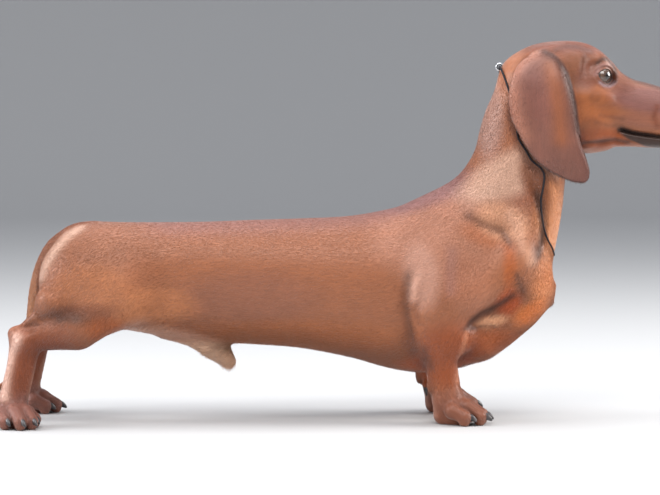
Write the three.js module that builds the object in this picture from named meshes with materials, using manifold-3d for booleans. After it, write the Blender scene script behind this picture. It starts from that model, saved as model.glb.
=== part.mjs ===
// A smooth-haired dachshund standing in a show pose, life size, as a museum model.
// Millimetres, +Z up, +X towards the nose, +Y towards the dog's left side.
// Places along the body (x) are counted from a datum plane at the rear of the hind feet, heights (z)
// from the ground, and sideways places (y) from the body's middle plane. Rows and forms give one side,
// and the other side mirrors it. The finished group is moved so that its origin lies on the ground
// below the middle of the dog.
import * as THREE from "three";
import { mergeVertices } from "three/addons/utils/BufferGeometryUtils.js";
import Module from "manifold-3d";

const wasm = await Module();
wasm.setup();

// Driving dimensions
const GAP = 0.3; // air kept between touching pieces
const HEAD_TURN = 8; // degrees that the head is turned to the dog's right
const HEAD_PIVOT_X = 530; // place of the upright axis of that turn
const COLLAR = { nape: [498, 357], throat: [552, 172], radius: 1.6, clear: 1.4, lift: 2.6 }; // a neck cord
const COLLAR_SWAY = [[9, 1.08, 0.25], [-6, 0.5, 0.25], [-5, 2.1, 0.35]]; // [forward, angle, width]
const RING = { radius: 3.1, wire: 1.1 }; // on the collar, at the nape
const CLAW = { length: 7.5, radius: 3.2, sunk: 4 };

const clamp = (v, lo, hi) => Math.min(hi, Math.max(lo, v));
const mix = (a, b, t) => a + (b - a) * t;
const ramp = (from, to, v) => {
  const t = clamp((v - from) / (to - from), 0, 1);
  return t * t * (3 - 2 * t);
};

// Blending of distance fields: inside is negative.
const smoothMin = (a, b, k) => {
  const h = Math.max(k - Math.abs(a - b), 0) / k;
  return Math.min(a, b) - (h * h * k) / 4;
};
const smoothMax = (a, b, k) => -smoothMin(-a, -b, k);

// A limb with round ends that tapers from a to b.
function cone([ax, ay, az], [bx, by, bz], ra, rb) {
  const [dx, dy, dz] = [bx - ax, by - ay, bz - az];
  const length2 = dx * dx + dy * dy + dz * dz;
  return (x, y, z) => {
    const px = x - ax;
    const py = y - ay;
    const pz = z - az;
    const t = clamp((px * dx + py * dy + pz * dz) / length2, 0, 1);
    const qx = px - t * dx;
    const qy = py - t * dy;
    const qz = pz - t * dz;
    return Math.sqrt(qx * qx + qy * qy + qz * qz) - ra - t * (rb - ra);
  };
}

// An ellipsoid. pitch lifts its front end and turn swings it towards +Y, in degrees.
function egg([cx, cy, cz], [rx, ry, rz], pitch = 0, turn = 0) {
  const p = THREE.MathUtils.degToRad(pitch);
  const t = THREE.MathUtils.degToRad(turn);
  const [cp, sp, ct, st] = [Math.cos(p), Math.sin(p), Math.cos(t), Math.sin(t)];
  const least = Math.min(rx, ry, rz);
  return (x, y, z) => {
    const dx = x - cx;
    const dy = y - cy;
    const dz = z - cz;
    const along = dx * ct + dy * st;
    const ux = (along * cp + dz * sp) / rx;
    const uy = (dy * ct - dx * st) / ry;
    const uz = (dz * cp - along * sp) / rz;
    const k0 = Math.sqrt(ux * ux + uy * uy + uz * uz);
    const k1 = Math.sqrt((ux / rx) ** 2 + (uy / ry) ** 2 + (uz / rz) ** 2);
    return k1 > 1e-9 ? (k0 * (k0 - 1)) / k1 : -least;
  };
}

// Smooth values between rows of [place, value, ...], held in a table with one entry a millimetre.
function between(rows) {
  const from = rows[0][0];
  const to = rows[rows.length - 1][0];
  const width = rows[0].length - 1;
  const count = Math.ceil(to - from) + 1;
  const slope = (i, k) => {
    const a = rows[Math.max(i - 1, 0)];
    const b = rows[Math.min(i + 1, rows.length - 1)];
    return (b[k] - a[k]) / (b[0] - a[0]);
  };
  const table = new Float64Array(count * width);
  for (let n = 0; n < count; n++) {
    const t = Math.min(from + n, to);
    let i = 0;
    while (i < rows.length - 2 && t > rows[i + 1][0]) i++;
    const span = rows[i + 1][0] - rows[i][0];
    const s = (t - rows[i][0]) / span;
    for (let k = 1; k <= width; k++) {
      const value = rows[i][k] * (2 * s ** 3 - 3 * s ** 2 + 1) + rows[i + 1][k] * (3 * s ** 2 - 2 * s ** 3);
      const bend = slope(i, k) * (s ** 3 - 2 * s ** 2 + s) + slope(i + 1, k) * (s ** 3 - s ** 2);
      table[n * width + k - 1] = value + bend * span;
    }
  }
  return (t, k) => {
    const place = clamp(t - from, 0, count - 1.000001);
    const i = Math.floor(place);
    return mix(table[i * width + k], table[(i + 1) * width + k], place - i);
  };
}

// A form built of slices. Each row is [place, high side, widest level, low side, half width]: along x
// the sides are top and bottom, and along z they are front and back.
function sliced(axis, rows, squareness) {
  const at = between(rows);
  const from = rows[0][0];
  const to = rows[rows.length - 1][0];
  const n = squareness;
  return (x, y, z) => {
    const t = axis === "x" ? x : z;
    const v = axis === "x" ? z : x;
    const wide = at(t, 1);
    const r = v > wide ? at(t, 0) - wide : wide - at(t, 2);
    const half = at(t, 3);
    const a = Math.abs(y) / half;
    const b = Math.abs(v - wide) / r;
    const rho = (a ** n + b ** n) ** (1 / n);
    const deepest = -Math.min(half, r);
    let d = deepest;
    if (rho > 1e-3) {
      const slope = rho ** (1 - n) * Math.sqrt((a ** (n - 1) / half) ** 2 + (b ** (n - 1) / r) ** 2);
      d = Math.max((rho - 1) / slope, deepest);
    }
    const over = Math.max(from - t, t - to, 0);
    return over > 0 ? Math.sqrt(Math.max(d, 0) ** 2 + over ** 2) : d;
  };
}

// Forms joined one after another, each with its own blend.
const joined = (forms) => (x, y, z) => {
  let d = forms[0][0](x, y, z);
  for (let i = 1; i < forms.length; i++) d = smoothMin(d, forms[i][0](x, y, z), forms[i][1]);
  return d;
};

// Far from a form, the distance to a sphere around it stands in for it.
const within = (cx, cy, cz, radius, form) => (x, y, z) => {
  const far = Math.sqrt((x - cx) ** 2 + (y - cy) ** 2 + (z - cz) ** 2) - radius;
  return far > 30 ? far : form(x, y, z);
};

// Furrows seen from the side, which fade at their ends. Each is [depth, width, ...points as [x, z]],
// and a ridge has a negative depth.
const furrowed = (furrows, form) => {
  const boxes = furrows.map(([, width, ...points]) => {
    const xs = points.map((p) => p[0]);
    const zs = points.map((p) => p[1]);
    const [low, high] = [-3 * width, 3 * width];
    return [Math.min(...xs) + low, Math.max(...xs) + high, Math.min(...zs) + low, Math.max(...zs) + high];
  });
  return (x, y, z) => {
    let d = form(x, y, z);
    if (Math.abs(d) > 12) return d;
    furrows.forEach(([depth, width, ...points], n) => {
      const [x0, x1, z0, z1] = boxes[n];
      if (x < x0 || x > x1 || z < z0 || z > z1) return;
      let near = Infinity;
      for (let i = 1; i < points.length; i++) {
        const [ax, az] = points[i - 1];
        const dx = points[i][0] - ax;
        const dz = points[i][1] - az;
        const t = clamp(((x - ax) * dx + (z - az) * dz) / (dx * dx + dz * dz), 0, 1);
        near = Math.min(near, (x - ax - t * dx) ** 2 + (z - az - t * dz) ** 2);
      }
      const [ax, az] = points[0];
      const [bx, bz] = points[points.length - 1];
      const ends = Math.min(Math.hypot(x - ax, z - az), Math.hypot(x - bx, z - bz));
      const fade = ramp(-width, 3 * width, ends) * ramp(0, 14, Math.abs(y));
      d += depth * Math.exp(-near / (width * width)) * fade;
    });
    return d;
  };
};

// The torso from the rump to the breastbone
const torsoCore = sliced(
  "x",
  [
    [50, 160, 150, 138, 8],
    [56, 177, 151, 122, 18],
    [68, 192, 152, 104, 30],
    [90, 198, 152, 95, 42],
    [130, 198, 150, 89, 49],
    [170, 198, 149, 82, 51],
    [210, 198.5, 148, 77, 53],
    [250, 200, 146, 75, 56],
    [300, 201.5, 143, 71, 61],
    [350, 204, 138, 61.5, 65],
    [390, 211, 134, 50.5, 65],
    [420, 219, 132, 46, 61],
    [450, 227, 130, 48, 56],
    [480, 226, 128, 57, 50],
    [510, 210, 127, 74, 43],
    [530, 186, 127, 92, 32],
    [544, 154, 124, 106, 19],
    [554, 133, 120, 113, 7],
  ],
  2.15,
);

// The neck, from inside the chest to the back of the skull
const neckCore = sliced(
  "z",
  [
    [105, 526, 500, 440, 28],
    [120, 541, 498, 432, 38],
    [140, 550, 494, 426, 45],
    [163, 555, 490, 422, 48],
    [180, 558.5, 488, 416, 48],
    [200, 562, 488, 412, 46],
    [218, 564.5, 494, 424, 44],
    [235, 565.5, 508, 450, 41],
    [250, 568.5, 516, 463.5, 38.5],
    [268, 574, 524, 474, 36.5],
    [288, 576, 529, 479, 35.5],
    [308, 573, 532, 485, 35],
    [328, 569, 535, 494, 33],
    [345, 562, 537, 501, 28],
    [352, 555, 537, 508, 21],
  ],
  2.1,
);

const SHEATH = [
  [cone([166, 0, 91], [212, 0, 75], 9, 10), 0],
  [cone([204, 0, 77], [230, 0, 57], 10, 5.6), 8],
  [cone([222, 0, 74], [231.5, 0, 59], 8, 4.2), 6],
];

// Muscles of the trunk, on both sides
const TRUNK = [
  [torsoCore, 0],
  [neckCore, 26],
  [egg([448, 40, 166], [46, 18, 34], 60), 30], // shoulder blade
  [cone([504, 37, 147], [446, 49, 121], 27, 25), 20], // upper arm
  [cone([434, 42, 160], [427, 52, 110], 20, 14), 24], // back of the upper arm
  [cone([524, 22, 122], [478, 24, 84], 23, 24), 14], // breast muscle
  [cone([540, 22, 236], [515, 36, 165], 17, 22), 18], // side of the neck
  [egg([106, 28, 152], [54, 26, 36], -4, 9), 20], // rump
  [egg([76, 8, 106], [14, 9, 14], 0), 5], // scrotum
];
const mirrored = (form) => (x, y, z) => form(x, Math.abs(y), z);
const trunk = mirrored(joined(TRUNK));
const sheath = within(195, 0, 75, 45, joined(SHEATH));

// The head is described straight ahead, and then turned.
const skull = sliced(
  "x",
  [
    [501, 352, 335, 312, 12],
    [508, 361, 335, 300, 23],
    [518, 368, 334, 290, 30],
    [532, 374.5, 332, 280, 34],
    [550, 378, 329, 276, 36.5],
    [570, 378.5, 325, 271.5, 37],
    [586, 375.5, 320, 270, 35],
    [600, 368, 316, 272, 31],
    [611, 357, 313, 277, 27],
    [620, 343, 310, 284, 22],
    [632, 325, 307, 292, 12],
  ],
  2.1,
);
const upperJaw = sliced(
  "x",
  [
    [600, 354, 312, 289, 24],
    [612, 353, 309, 289, 25.5],
    [621, 346.5, 306, 287, 25.5],
    [632, 340, 303, 284.5, 24.5],
    [645, 336.5, 300, 282.5, 23],
    [660, 332, 298, 281, 21.5],
    [675, 327.5, 297, 280, 20.5],
    [687, 323, 298, 281, 18],
    [694, 319, 301, 284.5, 14],
    [698, 313, 304, 294, 8],
  ],
  2.5,
);
const lowerJaw = sliced(
  "x",
  [
    [575, 300, 286, 270, 23],
    [590, 300, 285, 269.5, 22.5],
    [606, 298, 283, 271.3, 20.5],
    [630, 295, 281, 272, 18.5],
    [655, 291, 279, 271, 16.8],
    [675, 289, 278, 271.5, 14.5],
    [685, 287, 279, 273.5, 11],
    [690, 284, 280.5, 277, 5.5],
  ],
  2.2,
);
const EYE = { x: 600.3, y: 19, z: 342.3, radius: 10.3, gaze: 44 };
const LID = 1.9; // thickness of the lids over the eyeball
const HEAD = [
  [skull, 0],
  [upperJaw, 8],
  [egg([578, 25, 298], [24, 13, 28], 20), 12], // cheek
  [egg([590, 27, 322], [22, 8, 7], -8), 10], // cheekbone
  [egg([598, 17, 357], [13, 10, 8], -35), 8], // brow
  [egg([552, 21, 354], [26, 14, 18], 0), 12], // temple
  [egg([EYE.x, EYE.y, EYE.z], [EYE.radius + LID, EYE.radius + LID, EYE.radius + LID]), 5],
];
const NOSE = { centre: [690, 0, 309.5], radii: [11, 12.5, 9.8], pitch: -14 };
const noseForm = egg(NOSE.centre, NOSE.radii, NOSE.pitch);
const NOSTRILS = [
  cone([702, 5, 311], [691, 7.5, 312], 2.5, 2.2),
  cone([699, 8.5, 309], [691, 13.5, 306.5], 1.3, 1.1),
];
// The opening between the lids is a lens that slopes down to the inner corner.
const LIDS = { width: 17, height: 12.5, slope: -12, thick: 1.4, rim: 2.4 };
const gaze = THREE.MathUtils.degToRad(EYE.gaze);
const lidSlope = THREE.MathUtils.degToRad(LIDS.slope);
const lensRadius = (LIDS.width ** 2 / LIDS.height + LIDS.height) / 4;
// Round it the lids are thin, and follow the eyeball.
const lidded = (d, x, y, z) => {
  const dx = x - EYE.x;
  const dy = y - EYE.y;
  const out = dx * Math.cos(gaze) + dy * Math.sin(gaze);
  const across = dx * Math.sin(gaze) - dy * Math.cos(gaze);
  const u = across * Math.cos(lidSlope) + (z - EYE.z) * Math.sin(lidSlope);
  const v = (z - EYE.z) * Math.cos(lidSlope) - across * Math.sin(lidSlope);
  const lens = Math.hypot(u, Math.abs(v) + lensRadius - LIDS.height / 2) - lensRadius;
  const offBall = EYE.radius + LIDS.thick - Math.hypot(dx, dy, z - EYE.z);
  const bowl = smoothMax(smoothMax(lens - LIDS.rim, offBall, 2), 4 - out, 1);
  return smoothMax(smoothMax(d, -bowl, 3), -smoothMax(lens, 4 - out, 1), 0.6);
};
// The line of the mouth comes first.
const HEAD_FURROWS = [
  [2.2, 1.3, [619.5, 289], [631, 286.3], [644, 284.3], [658, 282.3], [672, 281.2], [684, 282], [691, 285]],
  [-1.1, 2.2, [621, 292.5], [632, 290], [658, 286.5], [680, 286]], // upper lip
  [-0.8, 1.8, [622, 286], [632, 282.5], [658, 278], [680, 277.5]], // lower lip
  [0.9, 3.5, [655, 309], [652, 300], [655, 292]], // behind the whisker pad
  [1.9, 2.6, [580, 276], [600, 277.5], [614, 279], [630, 276.5]], // fold of the cheek over the jaw
  [1.2, 4, [598, 324], [604, 320], [612, 322]], // below the eye
  [1, 3, [586, 344], [590, 352], [596, 356]], // behind the brow
  [0.9, 4, [556, 366], [568, 370.5], [579, 369.5], [590, 365]], // above the temple
  [1, 3, [584, 362], [582.5, 352], [582, 340]], // in front of the temple
];
const bareHead = furrowed(HEAD_FURROWS, (x, y, z) => {
  const blend = mix(18, 1.6, ramp(606, 624, x));
  return smoothMin(joined(HEAD)(x, y, z), lowerJaw(x, y, z), blend);
});
const headAhead = (x, side, z) => {
  const y = Math.abs(side);
  let d = bareHead(x, y, z);
  d = smoothMin(d, noseForm(x, y, z), 2.5);
  for (const nostril of NOSTRILS) d = smoothMax(d, -nostril(x, y, z), 1);
  return lidded(d, x, y, z);
};

const headTurn = THREE.MathUtils.degToRad(-HEAD_TURN);
const turned = (form) => (x, y, z) => {
  const dx = x - HEAD_PIVOT_X;
  const ahead = HEAD_PIVOT_X + dx * Math.cos(headTurn) + y * Math.sin(headTurn);
  return form(ahead, y * Math.cos(headTurn) - dx * Math.sin(headTurn), z);
};
const head = within(600, -12, 322, 122, turned(headAhead));

// Ears: a leaf-shaped sheet that hangs over the cheek and neck. The outline is seen from the side.
const EAR_OUTLINE = [
  [550, 367], [559, 361], [565, 350], [569, 339], [573, 325], [576, 310], [577.5, 297], [580, 284],
  [584, 270], [588, 258], [590.5, 248], [590, 242], [587, 238], [582, 236.5], [573, 238], [561, 243],
  [548, 250], [536, 260], [527, 272], [520, 285], [513.5, 297], [510, 310], [509.5, 326], [513, 342],
  [520.5, 356], [534, 364.5],
];
const EAR_EDGE = new THREE.CatmullRomCurve3(
  EAR_OUTLINE.map(([x, z]) => new THREE.Vector3(x, 0, z)),
  true,
  "catmullrom",
).getPoints(2 * EAR_OUTLINE.length).slice(1);
const EAR_THICKNESS = 3.4;
const earLevel = between([
  [225, 40], [240, 42.5], [262, 45.5], [290, 46.5], [315, 46], [335, 44], [350, 40], [360, 35.5], [372, 27],
]);
function earEdge(x, z) {
  let near = Infinity;
  let inside = false;
  for (let i = 0, j = EAR_EDGE.length - 1; i < EAR_EDGE.length; j = i++) {
    const { x: ax, z: az } = EAR_EDGE[j];
    const { x: bx, z: bz } = EAR_EDGE[i];
    const t = clamp(((x - ax) * (bx - ax) + (z - az) * (bz - az)) / ((bx - ax) ** 2 + (bz - az) ** 2), 0, 1);
    near = Math.min(near, (x - ax - t * (bx - ax)) ** 2 + (z - az - t * (bz - az)) ** 2);
    if (az > z !== bz > z && x < ax + ((z - az) / (bz - az)) * (bx - ax)) inside = !inside;
  }
  return inside ? -Math.sqrt(near) : Math.sqrt(near);
}
const earAhead = (x, side, z) => {
  const y = Math.abs(side);
  const edge = earEdge(x, z);
  const curl = mix(1.6, 5, ramp(538, 560, x)) * (1 - clamp(-edge / 9, 0, 1)) ** 2 * ramp(245, 275, z);
  const wave = 1.1 * Math.cos((x - 556) / 5.5) * ramp(240, 280, z) * ramp(366, 340, z);
  const level = earLevel(z, 0) - curl + wave - 2.5 * ((x - 550) / 34) ** 2;
  const sheet = Math.abs(y - level) * 0.93 - EAR_THICKNESS / 2;
  return smoothMax(sheet, edge, 3.4);
};
const ears = turned(earAhead);

// Legs
const FORE = {
  right: { elbow: [436, 50, 102], wrist: [440, 46, 46], paw: [446, 50], toesOut: 12 },
  left: { elbow: [431, 50, 102], wrist: [435, 46, 46], paw: [445, 50], toesOut: 10 },
};
const HIND = {
  right: { knee: [79, 54, 94], hock: [32, 57, 85], heel: [21.5, 56, 91], paw: [18, 60], toesOut: 58 },
  left: { knee: [82, 54, 93], hock: [36, 57, 84], heel: [25, 56, 88], paw: [22, 58], toesOut: 14 },
};
const plus = ([x, y, z], dx, dy, dz) => [x + dx, y + dy, z + dz];
const DEWCLAW = [-7, -12, -19]; // from the wrist to the root of its claw

const foreLeg = ({ elbow, wrist, paw }) => [
  [cone(elbow, wrist, 20, 14), 0],
  [egg(plus(elbow, 4, -1, -18), [19.5, 17, 30], -88), 8],
  [cone(plus(elbow, -12, 2, 4), plus(wrist, -4, 0, 6), 10, 9), 8],
  [cone(wrist, [paw[0], paw[1], 22], 14, 15), 8],
  [cone(plus(wrist, -3, -9, -9), plus(wrist, -6, -11.5, -16), 5, 4), 3], // dewclaw
  [cone(plus(wrist, -11, 0, -8), plus(wrist, -11, 0, -12), 5, 4.5), 4], // pad behind the wrist
];

// The pastern is wider than deep, so it has two cones side by side.
const pastern = ({ hock, paw, toesOut }) =>
  [-4.5, 4.5].map((aside) => {
    const a = THREE.MathUtils.degToRad(toesOut);
    const [x, y] = [-aside * Math.sin(a), aside * Math.cos(a)];
    return [cone(plus(hock, x, y, -4), [paw[0] + 1 + x, paw[1] + y, 26], 10.5, 10.5), 8];
  });
const hindLeg = (leg) => {
  const { knee, hock, heel } = leg;
  return [
    [egg([90, 35, 138], [47, 26, 44], 0, 10), 0], // thigh
    [cone([121, 36, 125], plus(knee, 4, -2, 3), 30, 19), 20], // front of the thigh
    [cone([78, 38, 142], plus(knee, -23, 0, 28), 28, 15), 20], // back of the thigh
    [egg(plus(knee, 0, 0, 3), [23, 18, 19]), 14],
    [cone(knee, hock, 17, 12.5), 8],
    [egg(plus(knee, -18, -1, -2), [24, 15, 15], 6), 8], // calf
    [cone(plus(heel, 37, -2, 28), plus(heel, 19, -1, 12), 13, 7), 12], // tendon above the heel
    [cone(plus(heel, 19, -1, 12), heel, 7, 6.5), 6],
    [cone(plus(heel, 6, 0, 3), plus(heel, 26, -1, 5), 5, 7), 4], // skin between it and the shin
    [cone(hock, heel, 12, 7), 5],
    [cone(heel, plus(heel, 2, 0, -30), 6.5, 7), 5], // back of the pastern
    ...pastern(leg),
  ];
};

// A paw has four arched toes round a broad middle. Toe places are [forward, sideways] from that middle.
const TOES = [
  { knuckle: [5, -15], tip: [17, -17], rise: 0.84 },
  { knuckle: [17, -6], tip: [31, -6.6], rise: 1 },
  { knuckle: [17, 6], tip: [31, 6.6], rise: 1 },
  { knuckle: [5, 15], tip: [17, 17], rise: 0.84 },
];
const onPaw = ({ paw, toesOut }, size) => {
  const a = THREE.MathUtils.degToRad(toesOut);
  return ([forward, sideways], z) => [
    paw[0] + (forward * Math.cos(a) - sideways * Math.sin(a)) * size,
    paw[1] + (forward * Math.sin(a) + sideways * Math.cos(a)) * size,
    z * size,
  ];
};
function pawForms(leg, size) {
  const place = onPaw(leg, size);
  const forms = [
    [cone(place([-2, 0], 24), place([6, 0], 15), 14.5 * size, 14 * size), 6],
    [cone(place([-5, 0], 9), place([9, 0], 8), 11 * size, 13 * size), 6],
  ];
  for (const { knuckle, tip, rise } of TOES) {
    const root = knuckle.map((v) => v * 0.35);
    forms.push([cone(place(root, 20), place(knuckle, 17.5 * rise), 8 * size, 7.8 * size), 3.5]);
    forms.push([cone(place(knuckle, 17.5 * rise), place(tip, 9), 7.8 * size, 7.2 * size), 2.4]);
    forms.push([cone(place(tip, 8), place(tip, 5), 7.4 * size, 6.2 * size), 1.5]);
  }
  return forms;
}

const SIZE = { fore: 1, hind: 0.93 };
const LEGS = [
  { name: "fore_leg_right", kind: "fore", side: -1, ...FORE.right },
  { name: "fore_leg_left", kind: "fore", side: 1, ...FORE.left },
  { name: "hind_leg_right", kind: "hind", side: -1, ...HIND.right },
  { name: "hind_leg_left", kind: "hind", side: 1, ...HIND.left },
];
for (const leg of LEGS) {
  const limb = leg.kind === "fore" ? foreLeg(leg) : hindLeg(leg);
  const form = joined([...limb, ...pawForms(leg, SIZE[leg.kind])]);
  const reach = leg.kind === "fore" ? within(450, 50, 60, 75, form) : within(65, 50, 90, 120, form);
  leg.form = (x, y, z) => reach(x, y * leg.side, z);
}

// Furrows of the body
const BODY_FURROWS = [
  [2.6, 5.5, [407, 148], [404, 133], [402, 118], [404, 104], [408, 89], [412, 75]], // behind the arm
  [-1.6, 4.5, [414, 147], [410, 134], [408, 121]], // fold of skin there
  [2, 3.5, [417, 124], [412, 112], [414, 102], [419, 93]],
  [1.6, 7, [465, 206], [475, 199.5], [485, 195.5], [500, 189], [508, 171], [511, 151]], // shoulder blade
  [2.9, 5, [511, 129], [496, 119], [486, 114], [476, 109], [468, 102], [461, 93]], // below the upper arm
  [1.3, 3, [468, 94.5], [476, 97.5], [484, 98.5], [493, 96.5]], // breast
  [3.6, 5, [527, 248], [533, 225], [538, 210], [540, 195], [538, 180], [534, 165]], // beside the windpipe
  [-1, 6, [511, 206], [521, 182], [526, 160]], // strap of the neck
  [1.8, 7, [42, 104], [53, 107.5], [65, 109.5], [78, 109.5], [92, 105]], // above the calf
  [1.8, 4, [22, 97.5], [30, 97.5], [39, 99.5], [47, 103]], // before the heel's tendon
  [1.5, 6, [132, 96], [150, 98], [172, 99.5], [201, 96]], // flank
];
const body = furrowed(BODY_FURROWS, (x, y, z) => {
  let d = smoothMin(trunk(x, y, z), head(x, y, z), 12);
  d = smoothMin(d, sheath(x, y, z), 9);
  for (const leg of LEGS) d = smoothMin(d, leg.form(x, y, z), leg.kind === "fore" ? 14 : 20);
  return d;
});

// The tail hangs from the croup, behind the thighs. Each row is [x, z, radius].
const TAIL = [
  [96, 181, 15.5],
  [79, 179, 15.8],
  [60, 170, 14],
  [47, 151, 11.6],
  [39.5, 129, 9.8],
  [35.5, 105, 8.4],
  [31, 80, 7],
  [23, 58, 5.5],
  [11, 41, 4],
  [-3, 31, 2.4],
];
const tailPath = new THREE.CatmullRomCurve3(
  TAIL.map((row) => new THREE.Vector3(...row)),
  false,
  "catmullrom",
).getPoints(3 * (TAIL.length - 1));
const tail = joined(
  tailPath.slice(1).map((b, i) => {
    const a = tailPath[i];
    return [cone([a.x, 0, a.y], [b.x, 0, b.y], a.z, b.z), 2];
  }),
);

// Turns the zero level of a field into a closed mesh inside a box, by surface nets.
function meshOf(field, lo, hi, cell) {
  const [nx, ny, nz] = lo.map((v, i) => Math.ceil((hi[i] - v) / cell / 4) * 4 + 1);
  const index = (i, j, k) => (i * ny + j) * nz + k;
  const value = sampled(field, lo, [nx, ny, nz], cell, index);
  untangle(value, [nx, ny, nz], index);
  const vertexOf = new Int32Array(nx * ny * nz).fill(-1);
  const points = [];
  for (let i = 0; i < nx - 1; i++)
    for (let j = 0; j < ny - 1; j++)
      for (let k = 0; k < nz - 1; k++) {
        const middle = crossing((c) => value[index(i + (c & 1), j + ((c >> 1) & 1), k + (c >> 2))]);
        if (!middle) continue;
        vertexOf[index(i, j, k)] = points.length;
        points.push(settle(field, [i, j, k].map((v, a) => lo[a] + (v + middle[a]) * cell), cell));
      }
  const faces = [];
  const quad = (corners, flip) => {
    const [a, b, c, d] = flip ? [...corners].reverse() : corners;
    const far = (u, v) => Math.hypot(...points[u].map((s, n) => s - points[v][n]));
    if (far(a, c) < far(b, d)) faces.push(a, b, c, a, c, d);
    else faces.push(a, b, d, b, c, d);
  };
  for (let i = 1; i < nx - 1; i++)
    for (let j = 1; j < ny - 1; j++)
      for (let k = 1; k < nz - 1; k++) {
        const here = value[index(i, j, k)] < 0;
        const v = (di, dj, dk) => vertexOf[index(i - di, j - dj, k - dk)];
        const crosses = (di, dj, dk) => here !== value[index(i + di, j + dj, k + dk)] < 0;
        if (crosses(1, 0, 0)) quad([v(0, 0, 0), v(0, 1, 0), v(0, 1, 1), v(0, 0, 1)], !here);
        if (crosses(0, 1, 0)) quad([v(0, 0, 0), v(0, 0, 1), v(1, 0, 1), v(1, 0, 0)], !here);
        if (crosses(0, 0, 1)) quad([v(0, 0, 0), v(1, 0, 0), v(1, 1, 0), v(0, 1, 0)], !here);
      }
  return { points, faces };
}

// The field's values on a grid. A block of cells far from the surface takes the value at its middle.
function sampled(field, lo, [nx, ny, nz], cell, index) {
  const value = new Float32Array(nx * ny * nz);
  const reach = 4 * cell * 1.8 + 1;
  for (let i = 0; i < nx; i += 4)
    for (let j = 0; j < ny; j += 4)
      for (let k = 0; k < nz; k += 4) {
        const middle = field(lo[0] + (i + 1.5) * cell, lo[1] + (j + 1.5) * cell, lo[2] + (k + 1.5) * cell);
        const far = Math.abs(middle) > reach;
        for (let a = i; a < Math.min(i + 4, nx); a++)
          for (let b = j; b < Math.min(j + 4, ny); b++)
            for (let c = k; c < Math.min(k + 4, nz); c++) {
              const d = far ? middle : field(lo[0] + a * cell, lo[1] + b * cell, lo[2] + c * cell);
              const rim = a < 2 || b < 2 || c < 2 || a > nx - 3 || b > ny - 3 || c > nz - 3;
              value[index(a, b, c)] = rim ? Math.max(d, 0.01) : d || 1e-4;
            }
      }
  return value;
}

// The mean place of a cell's edge crossings, or nothing where no edge is crossed.
function crossing(valueAt) {
  const sum = [0, 0, 0];
  let count = 0;
  for (let c = 0; c < 8; c++)
    for (let axis = 0; axis < 3; axis++) {
      if ((c >> axis) & 1) continue;
      const a = valueAt(c);
      const b = valueAt(c | (1 << axis));
      if (a < 0 === b < 0) continue;
      count++;
      for (let n = 0; n < 3; n++) sum[n] += ((c >> n) & 1) + (n === axis ? a / (a - b) : 0);
    }
  return count ? sum.map((v) => v / count) : null;
}

// Moves corners outside where a face of the grid has them in a chequer pattern that would pinch the mesh.
function untangle(value, [nx, ny, nz], index) {
  const steps = [index(1, 0, 0), index(0, 1, 0), index(0, 0, 1)];
  for (let again = true; again; ) {
    again = false;
    for (let i = 0; i < nx - 1; i++)
      for (let j = 0; j < ny - 1; j++)
        for (let k = 0; k < nz - 1; k++) {
          const a = index(i, j, k);
          for (const [u, v] of [[0, 1], [1, 2], [0, 2]]) {
            const [b, c, d] = [a + steps[u], a + steps[u] + steps[v], a + steps[v]];
            const [sa, sb, sc, sd] = [value[a] < 0, value[b] < 0, value[c] < 0, value[d] < 0];
            if (sa !== sc || sb !== sd || sa === sb) continue;
            for (const n of sa ? [a, c] : [b, d]) value[n] = 0.05;
            again = true;
          }
        }
  }
}

// Moves a point onto the field's surface, by at most half a cell.
function settle(field, start, cell) {
  const e = 0.05;
  let p = start;
  for (let n = 0; n < 3; n++) {
    const [x, y, z] = p;
    const d = field(x, y, z);
    const g = [field(x + e, y, z) - d, field(x, y + e, z) - d, field(x, y, z + e) - d].map((v) => v / e);
    const g2 = Math.max(g[0] * g[0] + g[1] * g[1] + g[2] * g[2], 0.05);
    p = p.map((v, a) => clamp(v - (d * g[a]) / g2, start[a] - cell / 2, start[a] + cell / 2));
  }
  return p;
}

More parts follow.
